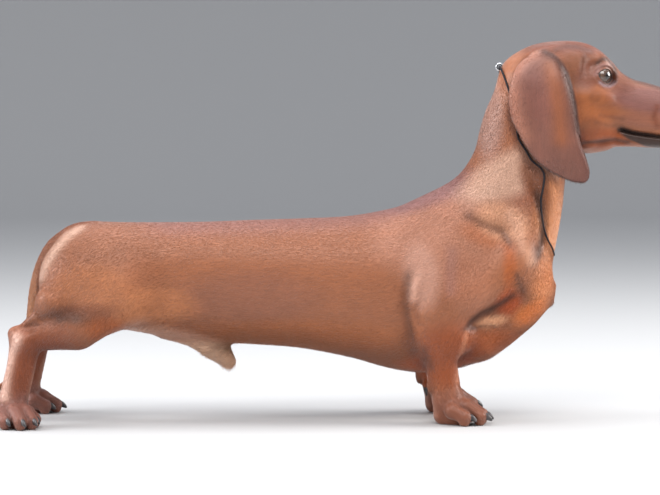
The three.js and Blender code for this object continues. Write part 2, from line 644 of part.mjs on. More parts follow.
// Thins a closed mesh to a wanted number of faces, by closing the edges that change its shape least.
function thinned({ points, faces }, wanted) {
  const pos = points.map((p) => [...p]);
  const corners = [];
  for (let i = 0; i < faces.length; i += 3) corners.push([faces[i], faces[i + 1], faces[i + 2]]);
  const around = pos.map(() => new Set());
  corners.forEach((f, n) => f.forEach((v) => around[v].add(n)));
  const normalOf = (a, b, c) => {
    const [ux, uy, uz] = [b[0] - a[0], b[1] - a[1], b[2] - a[2]];
    const [vx, vy, vz] = [c[0] - a[0], c[1] - a[1], c[2] - a[2]];
    return [uy * vz - uz * vy, uz * vx - ux * vz, ux * vy - uy * vx];
  };
  const quadric = pos.map(() => new Float64Array(10));
  for (const [a, b, c] of corners) {
    const n = normalOf(pos[a], pos[b], pos[c]);
    const size = Math.hypot(...n) || 1e-12;
    const [nx, ny, nz] = n.map((v) => v / size);
    const w = -(nx * pos[a][0] + ny * pos[a][1] + nz * pos[a][2]);
    const q = [nx * nx, nx * ny, nx * nz, nx * w, ny * ny, ny * nz, ny * w, nz * nz, nz * w, w * w];
    for (const v of [a, b, c]) q.forEach((s, i) => (quadric[v][i] += (s * size) / 6));
  }
  const errorAt = (q, [x, y, z]) =>
    q[0] * x * x + q[4] * y * y + q[7] * z * z + q[9] +
    2 * (q[1] * x * y + q[2] * x * z + q[5] * y * z + q[3] * x + q[6] * y + q[8] * z);
  const bestPlace = (q, a, b) => {
    const middle = a.map((v, i) => (v + b[i]) / 2);
    const m = new THREE.Matrix3().set(q[0], q[1], q[2], q[1], q[4], q[5], q[2], q[5], q[7]);
    const scale = (q[0] + q[4] + q[7]) / 3;
    let choices = [middle, a, b];
    if (Math.abs(m.determinant()) > 1e-4 * scale ** 3) {
      const p = new THREE.Vector3(-q[3], -q[6], -q[8]).applyMatrix3(m.invert()).toArray();
      if (Math.hypot(...p.map((v, i) => v - middle[i])) < 1.5 * Math.hypot(...a.map((v, i) => v - b[i]))) {
        choices = [p];
      }
    }
    return choices.reduce((best, p) => (errorAt(q, p) < errorAt(q, best) ? p : best));
  };
  const heap = [];
  const stamp = new Int32Array(pos.length);
  const push = (a, b) => {
    const q = quadric[a].map((v, i) => v + quadric[b][i]);
    const place = bestPlace(q, pos[a], pos[b]);
    const length2 = pos[a].reduce((s, v, i) => s + (v - pos[b][i]) ** 2, 0);
    const entry = { cost: errorAt(q, place) + 1e-4 * length2, a, b, place, q, at: stamp[a] + stamp[b] };
    let i = heap.push(entry) - 1;
    while (i > 0 && heap[(i - 1) >> 1].cost > entry.cost) {
      heap[i] = heap[(i - 1) >> 1];
      i = (i - 1) >> 1;
    }
    heap[i] = entry;
  };
  const pop = () => {
    const top = heap[0];
    const last = heap.pop();
    let i = 0;
    while (2 * i + 1 < heap.length) {
      let c = 2 * i + 1;
      if (c + 1 < heap.length && heap[c + 1].cost < heap[c].cost) c++;
      if (heap[c].cost >= last.cost) break;
      heap[i] = heap[c];
      i = c;
    }
    if (heap.length) heap[i] = last;
    return top;
  };
  const neighbours = (v) => {
    const ring = new Set();
    for (const f of around[v]) for (const u of corners[f]) if (u !== v) ring.add(u);
    return ring;
  };
  const folds = (v, other, place) => {
    for (const f of around[v]) {
      if (corners[f].includes(other)) continue;
      const before = corners[f].map((u) => pos[u]);
      const after = corners[f].map((u) => (u === v ? place : pos[u]));
      const n0 = normalOf(...before);
      const n1 = normalOf(...after);
      const [s0, s1] = [Math.hypot(...n0), Math.hypot(...n1)];
      if (n0[0] * n1[0] + n0[1] * n1[1] + n0[2] * n1[2] < 0.35 * s0 * s1) return true;
      const edge2 = (p, next) => p.reduce((sum, w, n) => sum + (w - next[n]) ** 2, 0);
      const edges = after.reduce((sum, p, i) => sum + edge2(p, after[(i + 1) % 3]), 0);
      if (s1 < 0.09 * edges) return true;
    }
    return false;
  };
  pos.forEach((p, v) => neighbours(v).forEach((u) => u > v && push(v, u)));
  let count = corners.length;
  while (count > wanted && heap.length) {
    const { a, b, place, q, at } = pop();
    if (!around[a].size || !around[b].size || at !== stamp[a] + stamp[b]) continue;
    const ringB = neighbours(b);
    if (!ringB.has(a)) continue;
    const shared = [...neighbours(a)].filter((v) => ringB.has(v));
    if (shared.length !== 2 || folds(a, b, place) || folds(b, a, place)) continue;
    for (const f of [...around[b]]) {
      if (corners[f].includes(a)) {
        for (const v of corners[f]) around[v].delete(f);
        corners[f] = null;
        count--;
      } else {
        corners[f] = corners[f].map((v) => (v === b ? a : v));
        around[a].add(f);
      }
    }
    around[b].clear();
    pos[a] = place;
    quadric[a] = q;
    for (const v of neighbours(a)) stamp[v]++;
    stamp[a]++;
    const ring = neighbours(a);
    for (const v of ring) for (const u of neighbours(v)) if (u > v || !ring.has(u)) push(v, u);
  }
  return { points: pos, faces: corners.filter(Boolean).flat() };
}

// Solids from closed meshes, with their faces pointing out, and back
function solidOf(geometry) {
  for (const name of ["normal", "uv"]) geometry.deleteAttribute(name);
  const merged = mergeVertices(geometry, 1e-4);
  const vertProperties = new Float32Array(merged.attributes.position.array);
  const triVerts = new Uint32Array(merged.index.array);
  const solid = new wasm.Manifold(new wasm.Mesh({ numProp: 3, vertProperties, triVerts }));
  if (solid.volume() > 0) return solid;
  triVerts.reverse();
  return new wasm.Manifold(new wasm.Mesh({ numProp: 3, vertProperties, triVerts }));
}
function solidFrom({ points, faces }) {
  const geometry = new THREE.BufferGeometry();
  geometry.setAttribute("position", new THREE.Float32BufferAttribute(points.flat(), 3));
  geometry.setIndex(faces);
  return solidOf(geometry);
}
function geometryOf(solid) {
  const mesh = solid.getMesh();
  const geometry = new THREE.BufferGeometry();
  geometry.setAttribute("position", new THREE.BufferAttribute(new Float32Array(mesh.vertProperties), 3));
  geometry.setIndex(new THREE.BufferAttribute(new Uint32Array(mesh.triVerts), 1));
  return geometry;
}
const largest = (solid) => solid.decompose().reduce((a, b) => (b.volume() > a.volume() ? b : a));

// The same solid with its surface moved outwards.
function grown(solid, by) {
  const geometry = geometryOf(solid);
  const at = geometry.attributes.position;
  geometry.computeVertexNormals();
  const normal = geometry.attributes.normal;
  const [p, n] = [new THREE.Vector3(), new THREE.Vector3()];
  for (let i = 0; i < at.count; i++) {
    p.fromBufferAttribute(at, i).addScaledVector(n.fromBufferAttribute(normal, i), by);
    at.setXYZ(i, p.x, p.y, p.z);
  }
  return solidOf(geometry);
}

// A prism over a convex outline in the plane of two axes, from lo to hi along the third, grown all round.
function prism([first, second], outline, lo, hi, grow = 0) {
  const count = outline.length;
  const middle = [0, 1].map((n) => outline.reduce((sum, p) => sum + p[n] / count, 0));
  const lines = outline.map(([ax, ay], i) => {
    const [bx, by] = outline[(i + 1) % count];
    const size = Math.hypot(bx - ax, by - ay);
    const away = Math.sign((ax - middle[0]) * (by - ay) + (ay - middle[1]) * (ax - bx));
    const nx = (away * (by - ay)) / size;
    const ny = (away * (ax - bx)) / size;
    return { nx, ny, c: nx * ax + ny * ay + grow };
  });
  const corners = lines.map((line, i) => {
    const last = lines[(i + count - 1) % count];
    const det = line.nx * last.ny - line.ny * last.nx;
    const [u, v] = [line.c * last.ny - last.c * line.ny, line.nx * last.c - last.nx * line.c];
    return new THREE.Vector2(u / det, v / det);
  });
  const depth = hi - lo + 2 * grow;
  const geometry = new THREE.ExtrudeGeometry(new THREE.Shape(corners), { depth, bevelEnabled: false });
  const order = { x: 0, y: 1, z: 2 };
  const third = 3 - order[first] - order[second];
  const at = geometry.attributes.position;
  for (let i = 0; i < at.count; i++) {
    const p = [0, 0, 0];
    p[order[first]] = at.getX(i);
    p[order[second]] = at.getY(i);
    p[third] = at.getZ(i) + lo - grow;
    at.setXYZ(i, ...p);
  }
  return geometry;
}

// A tube along a path of [place, across, up, radius] stations, with flat ends or closed to a loop.
function tube(stations, sides, loop) {
  const points = stations.flatMap(({ at, across, up, radius }) =>
    Array.from({ length: sides }, (_, n) => {
      const a = (2 * Math.PI * n) / sides;
      const side = across.clone().multiplyScalar(radius * Math.cos(a));
      return side.addScaledVector(up, radius * Math.sin(a)).add(at).toArray();
    }),
  );
  const faces = [];
  const count = stations.length;
  for (let i = 0; i < (loop ? count : count - 1); i++)
    for (let n = 0; n < sides; n++) {
      const [a, b] = [i * sides + n, i * sides + ((n + 1) % sides)];
      const [c, d] = [((i + 1) % count) * sides + n, ((i + 1) % count) * sides + ((n + 1) % sides)];
      faces.push(a, c, b, b, c, d);
    }
  if (!loop)
    for (let n = 1; n < sides - 1; n++) {
      const end = (count - 1) * sides;
      faces.push(0, n, n + 1, end, end + n + 1, end + n);
    }
  return solidFrom({ points, faces });
}

// Where the body is parted. Outlines are [x, z] seen from the side, or [y, z] seen from the front.
const BEYOND = 400;
const CUTS = {
  head: [[497, 345], [582, 264], [760, 264], [760, 420], [497, 420]],
  torso: [[446, 236], [562, 168], [562, -50], [-100, -50], [-100, 236]],
  foreLeg: { outline: [[22, -20], [23, 40], [34, 96], [44, 124], [110, 124], [110, -20]], x: [398, 474] },
  hindLeg: { outline: [[12, -20], [13, 60], [24, 122], [38, 166], [110, 166], [110, -20]], x: [-40, 130] },
  ground: [[-100, -200], [800, -200], [800, 200], [-100, 200]],
};
const PAW_TOP = { fore: 37, hind: 36 };
const TAIL_SPLIT = 104;

const turn = new THREE.Matrix4()
  .makeTranslation(HEAD_PIVOT_X, 0, 0)
  .multiply(new THREE.Matrix4().makeRotationZ(headTurn))
  .multiply(new THREE.Matrix4().makeTranslation(-HEAD_PIVOT_X, 0, 0));
const sideways = (outline, grow) => solidOf(prism("xz", outline, -BEYOND, BEYOND, grow));
const below = (z, grow = 0) => solidOf(prism("xy", CUTS.ground, -60, z, grow));
const noseRegion = (grow) => {
  const ball = new THREE.SphereGeometry(1, 14, 10).rotateX(Math.PI / 2);
  ball.scale(...NOSE.radii.map((r) => r + 0.8 + grow)).rotateY(-THREE.MathUtils.degToRad(NOSE.pitch));
  return solidOf(ball.translate(...NOSE.centre).applyMatrix4(turn));
};
const legRegion = ({ kind, side }, grow) => {
  const { outline, x } = CUTS[`${kind}Leg`];
  return solidOf(prism("yz", outline.map(([y, z]) => [y * side, z]), x[0], x[1], grow));
};
// The surface of a form inside a box, in cells of one size, thinned to about so many faces
const carved = (field, lo, hi, cell, faces) => solidFrom(thinned(meshOf(field, lo, hi, cell), faces));
const onSide = (side, lo, hi) =>
  side > 0 ? [lo, hi] : [[lo[0], -hi[1], lo[2]], [hi[0], -lo[1], hi[2]]];

// A claw leaves the toe at its root and bends down to a point.
function claw({ root, heading, length, radius }) {
  const stations = [-CLAW.sunk / length, 0.1, 0.6, 1].map((t) => {
    const bend = t > 0 ? 0.3 * t * t : 0;
    const at = heading.clone().multiplyScalar(t * length).add(root);
    at.z -= bend * length;
    const along = heading.clone();
    along.z -= t > 0 ? 0.6 * t : 0;
    along.normalize();
    const across = new THREE.Vector3(-heading.y, heading.x, 0).normalize();
    const taper = t > 0 ? 1 - 0.72 * t ** 2 : 1;
    return { at, across, up: along.cross(across).negate(), radius: radius * taper };
  });
  return tube(stations, 5, false);
}
function clawPlaces(leg) {
  const size = SIZE[leg.kind];
  const place = onPaw(leg, size);
  const mirror = ([x, y, z]) => new THREE.Vector3(x, y * leg.side, z);
  const places = TOES.map(({ tip }) => {
    const root = mirror(place([tip[0] + 5, tip[1]], 9.5));
    const ahead = mirror(place([tip[0] + 6, tip[1]], 9.15)).sub(root).normalize();
    return { root, heading: ahead, length: CLAW.length * size, radius: CLAW.radius * size };
  });
  if (leg.kind === "fore") {
    const root = mirror(plus(leg.wrist, ...DEWCLAW));
    const heading = new THREE.Vector3(0.25, -0.2 * leg.side, -0.9).normalize();
    places.push({ root, heading, length: 7, radius: 2 });
  }
  return places;
}

// The collar's cord goes round the neck near a slanting plane, swaying out of it on the sides, and is
// lifted where its ring sits.
function collarPath() {
  const nape = new THREE.Vector3(COLLAR.nape[0], 0, COLLAR.nape[1]);
  const throat = new THREE.Vector3(COLLAR.throat[0], 0, COLLAR.throat[1]);
  const middle = nape.clone().add(throat).multiplyScalar(0.5);
  const down = throat.clone().sub(nape).normalize();
  const steps = 36;
  return Array.from({ length: steps }, (_, n) => {
    const a = (2 * Math.PI * n) / steps;
    const out = down.clone().multiplyScalar(Math.cos(a)).setY(Math.sin(a));
    const b = Math.acos(Math.cos(a));
    const hump = ([size, at, width]) => size * Math.exp(-(((b - at) / width) ** 2));
    const sway = COLLAR_SWAY.map(hump).reduce((sum, v) => sum + v, 0);
    const centre = middle.clone().add(new THREE.Vector3(-down.z, 0, down.x).multiplyScalar(sway));
    let [near, far] = [10, 130];
    while (far - near > 0.02) {
      const p = out.clone().multiplyScalar((near + far) / 2).add(centre);
      if (body(p.x, p.y, p.z) < COLLAR.radius + COLLAR.clear) near = (near + far) / 2;
      else far = (near + far) / 2;
    }
    const lift = COLLAR.lift * Math.exp(-(((a - Math.PI) / 0.22) ** 2));
    return out.multiplyScalar(near + lift).add(centre);
  });
}
function collarStations(path) {
  return path.map((at, i) => {
    const along = path[(i + 1) % path.length].clone().sub(path.at(i - 1)).normalize();
    const down = new THREE.Vector3(COLLAR.throat[0] - COLLAR.nape[0], 0, COLLAR.throat[1] - COLLAR.nape[1]);
    const up = new THREE.Vector3().crossVectors(down, new THREE.Vector3(0, 1, 0)).normalize();
    return { at, across: new THREE.Vector3().crossVectors(up, along).normalize(), up, radius: COLLAR.radius };
  });
}

function makeParts() {
  const parts = {};
  let torso = carved(body, [0, -100, 25], [600, 100, 262], 4, 3600).intersect(sideways(CUTS.torso, 0));
  for (const leg of LEGS) torso = torso.subtract(legRegion(leg, GAP));
  parts.torso = largest(torso);

  const neck = carved(body, [400, -70, 130], [610, 70, 385], 4, 2300);
  parts.neck = largest(neck.subtract(sideways(CUTS.torso, GAP)).subtract(sideways(CUTS.head, GAP)));

  const face = carved(body, [480, -75, 245], [715, 60, 390], 1.7, 4500).intersect(sideways(CUTS.head, 0));
  const nose = carved(body, [676, -45, 288], [712, 0, 332], 1.1, 480);
  parts.nose = largest(nose.intersect(noseRegion(0)));
  let skin = face.subtract(noseRegion(GAP));
  for (const [name, side] of [["right", -1], ["left", 1]]) {
    const ball = (radius, sides, rings) => {
      const sphere = new THREE.SphereGeometry(radius, sides, rings).rotateX(Math.PI / 2);
      return solidOf(sphere.translate(EYE.x, side * EYE.y, EYE.z).applyMatrix4(turn));
    };
    parts[`eye_${name}`] = ball(EYE.radius - GAP, 16, 10);
    skin = skin.subtract(ball(EYE.radius, 16, 10));
  }
  parts.head = largest(skin);
  for (const [name, side] of [["right", -1], ["left", 1]]) {
    const oneEar = turned((x, y, z) => (y * side > 5 ? earAhead(x, y, z) : 20));
    const [lo, hi] = side < 0 ? [[490, -80, 222], [612, -8, 384]] : [[490, -12, 222], [612, 62, 384]];
    const ear = carved(oneEar, lo, hi, 1.3, 520);
    parts[`ear_${name}`] = largest(ear.subtract(grown(parts.head, GAP)).subtract(grown(parts.neck, GAP)));
  }

  for (const leg of LEGS) {
    const fore = leg.kind === "fore";
    const top = PAW_TOP[leg.kind];
    const limbBox = fore ? [[388, 8, 22], [486, 100, 136]] : [[-16, 4, 22], [142, 100, 178]];
    const limb = carved(body, ...onSide(leg.side, ...limbBox), 3, fore ? 820 : 1100);
    parts[leg.name] = largest(limb.intersect(legRegion(leg, 0)).subtract(below(top, GAP)));
    const pawBox = fore ? [[412, 16, -8], [508, 92, 50]] : [[-24, 20, -8], [84, 112, 50]];
    let paw = carved(body, ...onSide(leg.side, ...pawBox), 1.7, 450).intersect(below(top)).subtract(below(0));
    clawPlaces(leg).forEach((place, n) => {
      const nail = claw(place);
      parts[`${leg.name.replace("leg", "claw")}_${n + 1}`] = nail;
      paw = paw.subtract(grown(nail, GAP));
    });
    parts[leg.name.replace("leg", "paw")] = largest(paw);
  }

  const wholeTail = carved(tail, [-24, -24, 12], [126, 24, 210], 2.4, 520).subtract(grown(parts.torso, GAP));
  parts.tail_lower = largest(wholeTail.intersect(below(TAIL_SPLIT)));
  parts.tail_upper = largest(wholeTail.subtract(below(TAIL_SPLIT, GAP)));

  const path = collarPath();
  parts.collar = tube(collarStations(path), 6, true);
  const nape = path[path.length / 2];
  const ring = new THREE.TorusGeometry(RING.radius, RING.wire, 6, 14).rotateX(Math.PI / 2);
  parts.collar_ring = solidOf(ring.translate(nape.x, nape.y, nape.z));
  return parts;
}

const COLOURS = {
  coat: [0x9a5236, 0.62],
  ear: [0x7b463c, 0.6],
  nose: [0x1c1717, 0.35],
  eye: [0x2a1a12, 0.08],
  claw: [0x2b2727, 0.4],
  collar: [0x2f3340, 0.5],
  collar_ring: [0xb9bcc2, 0.25, 1],
};
const finishOf = (name) => Object.keys(COLOURS).findLast((key) => name.includes(key)) ?? "coat";

// The group stands with its origin on the ground, below the middle of the dog's box.
const dog = new THREE.Group();
for (const [name, solid] of Object.entries(makeParts())) {
  const [color, roughness, metalness = 0] = COLOURS[finishOf(name)];
  const material = new THREE.MeshStandardMaterial({ color, roughness, metalness });
  const mesh = new THREE.Mesh(geometryOf(solid), material);
  mesh.name = name;
  dog.add(mesh);
}
const box = new THREE.Box3().setFromObject(dog);
dog.position.set(-(box.min.x + box.max.x) / 2, -(box.min.y + box.max.y) / 2, -box.min.z);

export default dog;
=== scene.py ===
# A smooth-haired dachshund in a show stance, life size: skin, coat, eyes, nose, claws and collar.
import math

import bpy
import numpy as np
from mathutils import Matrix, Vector


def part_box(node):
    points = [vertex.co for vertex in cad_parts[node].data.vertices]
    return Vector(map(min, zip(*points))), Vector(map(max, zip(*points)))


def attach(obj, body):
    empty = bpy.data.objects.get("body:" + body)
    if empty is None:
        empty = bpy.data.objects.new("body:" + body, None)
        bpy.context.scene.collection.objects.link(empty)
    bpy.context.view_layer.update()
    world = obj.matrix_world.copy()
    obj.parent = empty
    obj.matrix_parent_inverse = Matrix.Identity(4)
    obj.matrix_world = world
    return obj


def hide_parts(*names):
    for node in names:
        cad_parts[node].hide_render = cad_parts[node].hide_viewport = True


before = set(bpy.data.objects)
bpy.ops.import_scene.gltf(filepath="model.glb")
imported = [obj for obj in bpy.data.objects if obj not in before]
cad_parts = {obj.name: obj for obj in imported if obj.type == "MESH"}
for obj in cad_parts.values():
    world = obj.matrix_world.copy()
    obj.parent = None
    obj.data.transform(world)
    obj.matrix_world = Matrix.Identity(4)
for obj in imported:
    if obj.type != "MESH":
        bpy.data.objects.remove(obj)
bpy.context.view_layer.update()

# Sizes are in millimetres, counted as in the solids: x from a datum plane at the rear of the hind feet,
# z from the ground and y from the middle plane, with -y on the dog's right. The frame gives the shift.
MM = 0.001
HEAD_TURN = 8  # degrees to the dog's right
HEAD_PIVOT_X = 530
EYE = {"centre": (600.3, 19, 342.3), "radius": 10.0, "socket": 10.3, "gaze": 44}  # gaze in degrees outward
LID = 1.9  # from the socket to the outer side of the lids
DEPTH = 1.0  # of the coat, between the solids' surface and the skin
FACE_DEPTH = 0.4  # on the face and feet
EAR_DEPTH = 0.3

turn = math.radians(-HEAD_TURN)
COS_TURN, SIN_TURN = math.cos(turn), math.sin(turn)


def turned(p, sine=SIN_TURN):
    """Points of the head set straight ahead, moved to where the turned head has them."""
    p = np.array(p, float)
    dx, y = p[..., 0] - HEAD_PIVOT_X, p[..., 1].copy()
    p[..., 0] = HEAD_PIVOT_X + dx * COS_TURN - y * sine
    p[..., 1] = y * COS_TURN + dx * sine
    return p


def straightened(p):
    """The way back from turned()."""
    return turned(p, -SIN_TURN)


def middle_of(node):
    low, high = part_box(node)
    return (np.array(low) + np.array(high)) / 2


EYE_RIGHT = np.array(EYE["centre"]) * [1, -1, 1]
SHIFT = middle_of("eye_right") / MM - turned(EYE_RIGHT)


def to_metres(p):
    return (np.asarray(p, float) + SHIFT) * MM


def clamp01(v):
    return np.clip(v, 0, 1)


def ramp(start, end, v):
    t = clamp01((v - start) / (end - start))
    return t * t * (3 - 2 * t)


def mix(a, b, t):
    return a + (b - a) * t


# Distance fields: a form is a function of points, inside is negative, and ball holds a sphere round it.
EGG_SLACK = 4  # an egg's field isn't a true distance, so its ball is larger
FURROW_REACH = 12  # further from the surface no furrow is felt
MIDDLE_FADE = 14  # furrows of the sides fade out towards the middle plane


def smooth_min(a, b, k):
    h = np.maximum(k - np.abs(a - b), 0) / k
    return np.minimum(a, b) - h * h * k / 4


def smooth_max(a, b, k):
    return -smooth_min(-a, -b, k)


def cone(a, b, ra, rb):
    a = np.array(a, float)
    axis = np.array(b, float) - a

    def form(p):
        q = p - a
        t = clamp01(q @ axis / (axis @ axis))
        q -= t[:, None] * axis
        return np.sqrt(np.einsum("ij,ij->i", q, q)) - ra - t * (rb - ra)

    form.ball = (a + axis / 2, np.linalg.norm(axis) / 2 + max(ra, rb))
    return form


def egg(centre, radii, pitch=0, turn_out=0):
    cp, sp = math.cos(math.radians(pitch)), math.sin(math.radians(pitch))
    ct, st = math.cos(math.radians(turn_out)), math.sin(math.radians(turn_out))
    radii = np.array(radii, float)
    centre = np.array(centre, float)
    axes = np.array([[ct * cp, st * cp, sp], [-st, ct, 0], [-ct * sp, -st * sp, cp]])

    def form(p):
        u = (p - centre) @ axes.T / radii
        k0 = np.sqrt(np.einsum("ij,ij->i", u, u))
        u /= radii
        k1 = np.sqrt(np.einsum("ij,ij->i", u, u))
        return np.where(k1 > 1e-9, k0 * (k0 - 1) / np.maximum(k1, 1e-9), -radii.min())

    form.ball = (centre, radii.max() + EGG_SLACK)
    return form


def between(rows):
    """Smooth columns between rows of [place, value, ...], in a table with one entry a millimetre."""
    rows = np.array(rows, float)
    places = np.minimum(np.arange(rows[0, 0], rows[-1, 0] + 1), rows[-1, 0])
    slopes = np.zeros_like(rows)
    slopes[0] = (rows[1] - rows[0]) / (rows[1, 0] - rows[0, 0])
    slopes[-1] = (rows[-1] - rows[-2]) / (rows[-1, 0] - rows[-2, 0])
    slopes[1:-1] = (rows[2:] - rows[:-2]) / (rows[2:, 0] - rows[:-2, 0])[:, None]
    i = np.clip(np.searchsorted(rows[:, 0], places) - 1, 0, len(rows) - 2)
    span = rows[i + 1, 0] - rows[i, 0]
    s = ((places - rows[i, 0]) / span)[:, None]
    table = rows[i] * (2 * s**3 - 3 * s**2 + 1) + rows[i + 1] * (3 * s**2 - 2 * s**3)
    table += (slopes[i] * (s**3 - 2 * s**2 + s) + slopes[i + 1] * (s**3 - s**2)) * span[:, None]
    return lambda t, column: np.interp(t, places, table[:, column])


def sliced(axis, rows, squareness):
    """A form built of slices [place, high side, widest level, low side, half width] along x or z."""
    at = between(rows)
    first, last = rows[0][0], rows[-1][0]
    n = squareness

    def form(p):
        t, v = (p[:, 0], p[:, 2]) if axis == "x" else (p[:, 2], p[:, 0])
        wide = at(t, 2)
        r = np.where(v > wide, at(t, 1) - wide, wide - at(t, 3))
        half = at(t, 4)
        a = np.abs(p[:, 1]) / half
        b = np.abs(v - wide) / r
        rho = np.maximum((a**n + b**n) ** (1 / n), 1e-3)
        slope = rho ** (1 - n) * np.sqrt((a ** (n - 1) / half) ** 2 + (b ** (n - 1) / r) ** 2)
        d = np.maximum((rho - 1) / np.maximum(slope, 1e-9), -np.minimum(half, r))
        over = np.maximum(np.maximum(first - t, t - last), 0)
        return np.where(over > 0, np.sqrt(np.maximum(d, 0) ** 2 + over**2), d)

    high, low, half = (max(r[1] for r in rows), min(r[3] for r in rows), max(r[4] for r in rows))
    middle = [(first + last) / 2, 0, (high + low) / 2]
    form.ball = (
        np.array(middle if axis == "x" else middle[::-1], float),
        np.linalg.norm([(last - first) / 2, half, (high - low) / 2]),
    )
    return form


def blended(d, p, part, k, depth=0):
    """The distances d with one more form let in, so deep. Far from its ball the form isn't asked."""
    near = np.linalg.norm(p - part.ball[0], axis=1) - part.ball[1] < d + k
    if near.any():
        d[near] = smooth_min(d[near], part(p[near]) + depth, k)
    return d


def joined(forms, centre=None, radius=None):
    """Forms joined one after another, each with its own blend."""

    def form(p):
        d = forms[0][0](p)
        for part, k in forms[1:]:
            d = blended(d, p, part, k)
        return d

    if centre is None:
        centre = np.mean([part.ball[0] for part, _ in forms], axis=0)
        radius = max(np.linalg.norm(part.ball[0] - centre) + part.ball[1] for part, _ in forms)
    form.ball = (np.array(centre, float), radius)
    return form


def within(centre, radius, form):
    form.ball = (np.array(centre, float), radius)
    return form


def near_line(x, z, points):
    """The distance of [x, z] places to a line through points."""
    near = np.full(len(x), np.inf)
    for (ax, az), (bx, bz) in zip(points, points[1:]):
        dx, dz = bx - ax, bz - az
        t = clamp01(((x - ax) * dx + (z - az) * dz) / (dx * dx + dz * dz))
        near = np.minimum(near, np.hypot(x - ax - t * dx, z - az - t * dz))
    return near


def furrowed(furrows, form):
    """Furrows seen from the side, fading at their ends. Each is (depth, width, points), a ridge below 0."""

    def carved(p):
        d = form(p)
        close = np.flatnonzero(np.abs(d) < FURROW_REACH)
        for depth, width, points in furrows:
            low, high = np.min(points, 0) - 3 * width, np.max(points, 0) + 3 * width
            x, z = p[close, 0], p[close, 2]
            here = close[(x > low[0]) & (x < high[0]) & (z > low[1]) & (z < high[1])]
            if len(here):
                x, z = p[here, 0], p[here, 2]
                ends = np.minimum(*[np.hypot(x - ax, z - az) for ax, az in (points[0], points[-1])])
                fade = ramp(-width, 3 * width, ends) * ramp(0, MIDDLE_FADE, np.abs(p[here, 1]))
                d[here] += depth * np.exp(-((near_line(x, z, points) / width) ** 2)) * fade
        return d

    return carved


def rounded(points, steps, closed=False):
    """Points along a smooth curve through given ones, so many for each stretch."""
    points = np.array(points, float)
    count = len(points)
    if closed:
        padded = np.concatenate([points[-1:], points, points[:2]])
    else:
        padded = np.concatenate([[2 * points[0] - points[1]], points, [2 * points[-1] - points[-2]]])
        count -= 1
    t = (np.arange(steps) / steps)[:, None]
    made = []
    for a, b, c, d in zip(padded, padded[1:], padded[2 : count + 2], padded[3:]):
        bend = t**2 * (a - 2.5 * b + 2 * c - d / 2) + t**3 * (1.5 * (b - c) + (d - a) / 2)
        made.append(b + t * (c - a) / 2 + bend)
    return np.concatenate(made + ([] if closed else [points[-1:]]))


def mirror(p):
    return np.column_stack([p[:, 0], np.abs(p[:, 1]), p[:, 2]])


# The trunk, from the rump to the breastbone, and the neck
torso_core = sliced(
    "x",
    [
        [50, 160, 150, 138, 8],
        [56, 177, 151, 122, 18],
        [68, 192, 152, 104, 30],
        [90, 198, 152, 95, 42],
        [130, 198, 150, 89, 49],
        [170, 198, 149, 82, 51],
        [210, 198.5, 148, 77, 53],
        [250, 200, 146, 75, 56],
        [300, 201.5, 143, 71, 61],
        [350, 204, 138, 61.5, 65],
        [390, 211, 134, 50.5, 65],
        [420, 219, 132, 46, 61],
        [450, 227, 130, 48, 56],
        [480, 226, 128, 57, 50],
        [510, 210, 127, 74, 43],
        [530, 186, 127, 92, 32],
        [544, 154, 124, 106, 19],
        [554, 133, 120, 113, 7],
    ],
    squareness=2.15,
)
neck_core = sliced(
    "z",
    [
        [105, 526, 500, 440, 28],
        [120, 541, 498, 432, 38],
        [140, 550, 494, 426, 45],
        [163, 555, 490, 422, 48],
        [180, 558.5, 488, 416, 48],
        [200, 562, 488, 412, 46],
        [218, 564.5, 494, 424, 44],
        [235, 565.5, 508, 450, 41],
        [250, 568.5, 516, 463.5, 38.5],
        [268, 574, 524, 474, 36.5],
        [288, 576, 529, 479, 35.5],
        [308, 573, 532, 485, 35],
        [328, 569, 535, 494, 33],
        [345, 562, 537, 501, 28],
        [352, 555, 537, 508, 21],
    ],
    squareness=2.1,
)
SHEATH = [
    (cone([166, 0, 91], [212, 0, 75], 9, 10), 0),
    (cone([204, 0, 77], [230, 0, 57], 10, 5.6), 8),
    (cone([222, 0, 74], [231.5, 0, 59], 8, 4.2), 6),
]
TRUNK = [
    (torso_core, 0),
    (neck_core, 26),
    (egg([448, 40, 166], [46, 18, 34], 60), 30),  # shoulder blade
    (cone([504, 37, 147], [446, 49, 121], 27, 25), 20),  # upper arm
    (cone([434, 42, 160], [427, 52, 110], 20, 14), 24),  # back of the upper arm
    (cone([524, 22, 122], [478, 24, 84], 23, 24), 14),  # breast muscle
    (cone([540, 22, 236], [515, 36, 165], 17, 22), 18),  # side of the neck
    (egg([106, 28, 152], [54, 26, 36], -4, 9), 20),  # rump
    (egg([76, 8, 106], [14, 9, 14]), 5),  # scrotum
]
trunk_side = joined(TRUNK)
sheath = joined(SHEATH, [195, 0, 75], 45)

# The head, straight ahead
skull = sliced(
    "x",
    [
        [501, 352, 335, 312, 12],
        [508, 361, 335, 300, 23],
        [518, 368, 334, 290, 30],
        [532, 374.5, 332, 280, 34],
        [550, 378, 329, 276, 36.5],
        [570, 378.5, 325, 271.5, 37],
        [586, 375.5, 320, 270, 35],
        [600, 368, 316, 272, 31],
        [611, 357, 313, 277, 27],
        [620, 343, 310, 284, 22],
        [632, 325, 307, 292, 12],
    ],
    squareness=2.1,
)
upper_jaw = sliced(
    "x",
    [
        [600, 354, 312, 289, 24],
        [612, 353, 309, 289, 25.5],
        [621, 346.5, 306, 287, 25.5],
        [632, 340, 303, 284.5, 24.5],
        [645, 336.5, 300, 282.5, 23],
        [660, 332, 298, 281, 21.5],
        [675, 327.5, 297, 280, 20.5],
        [687, 323, 298, 281, 18],
        [694, 319, 301, 284.5, 14],
        [698, 313, 304, 294, 8],
    ],
    squareness=2.5,
)
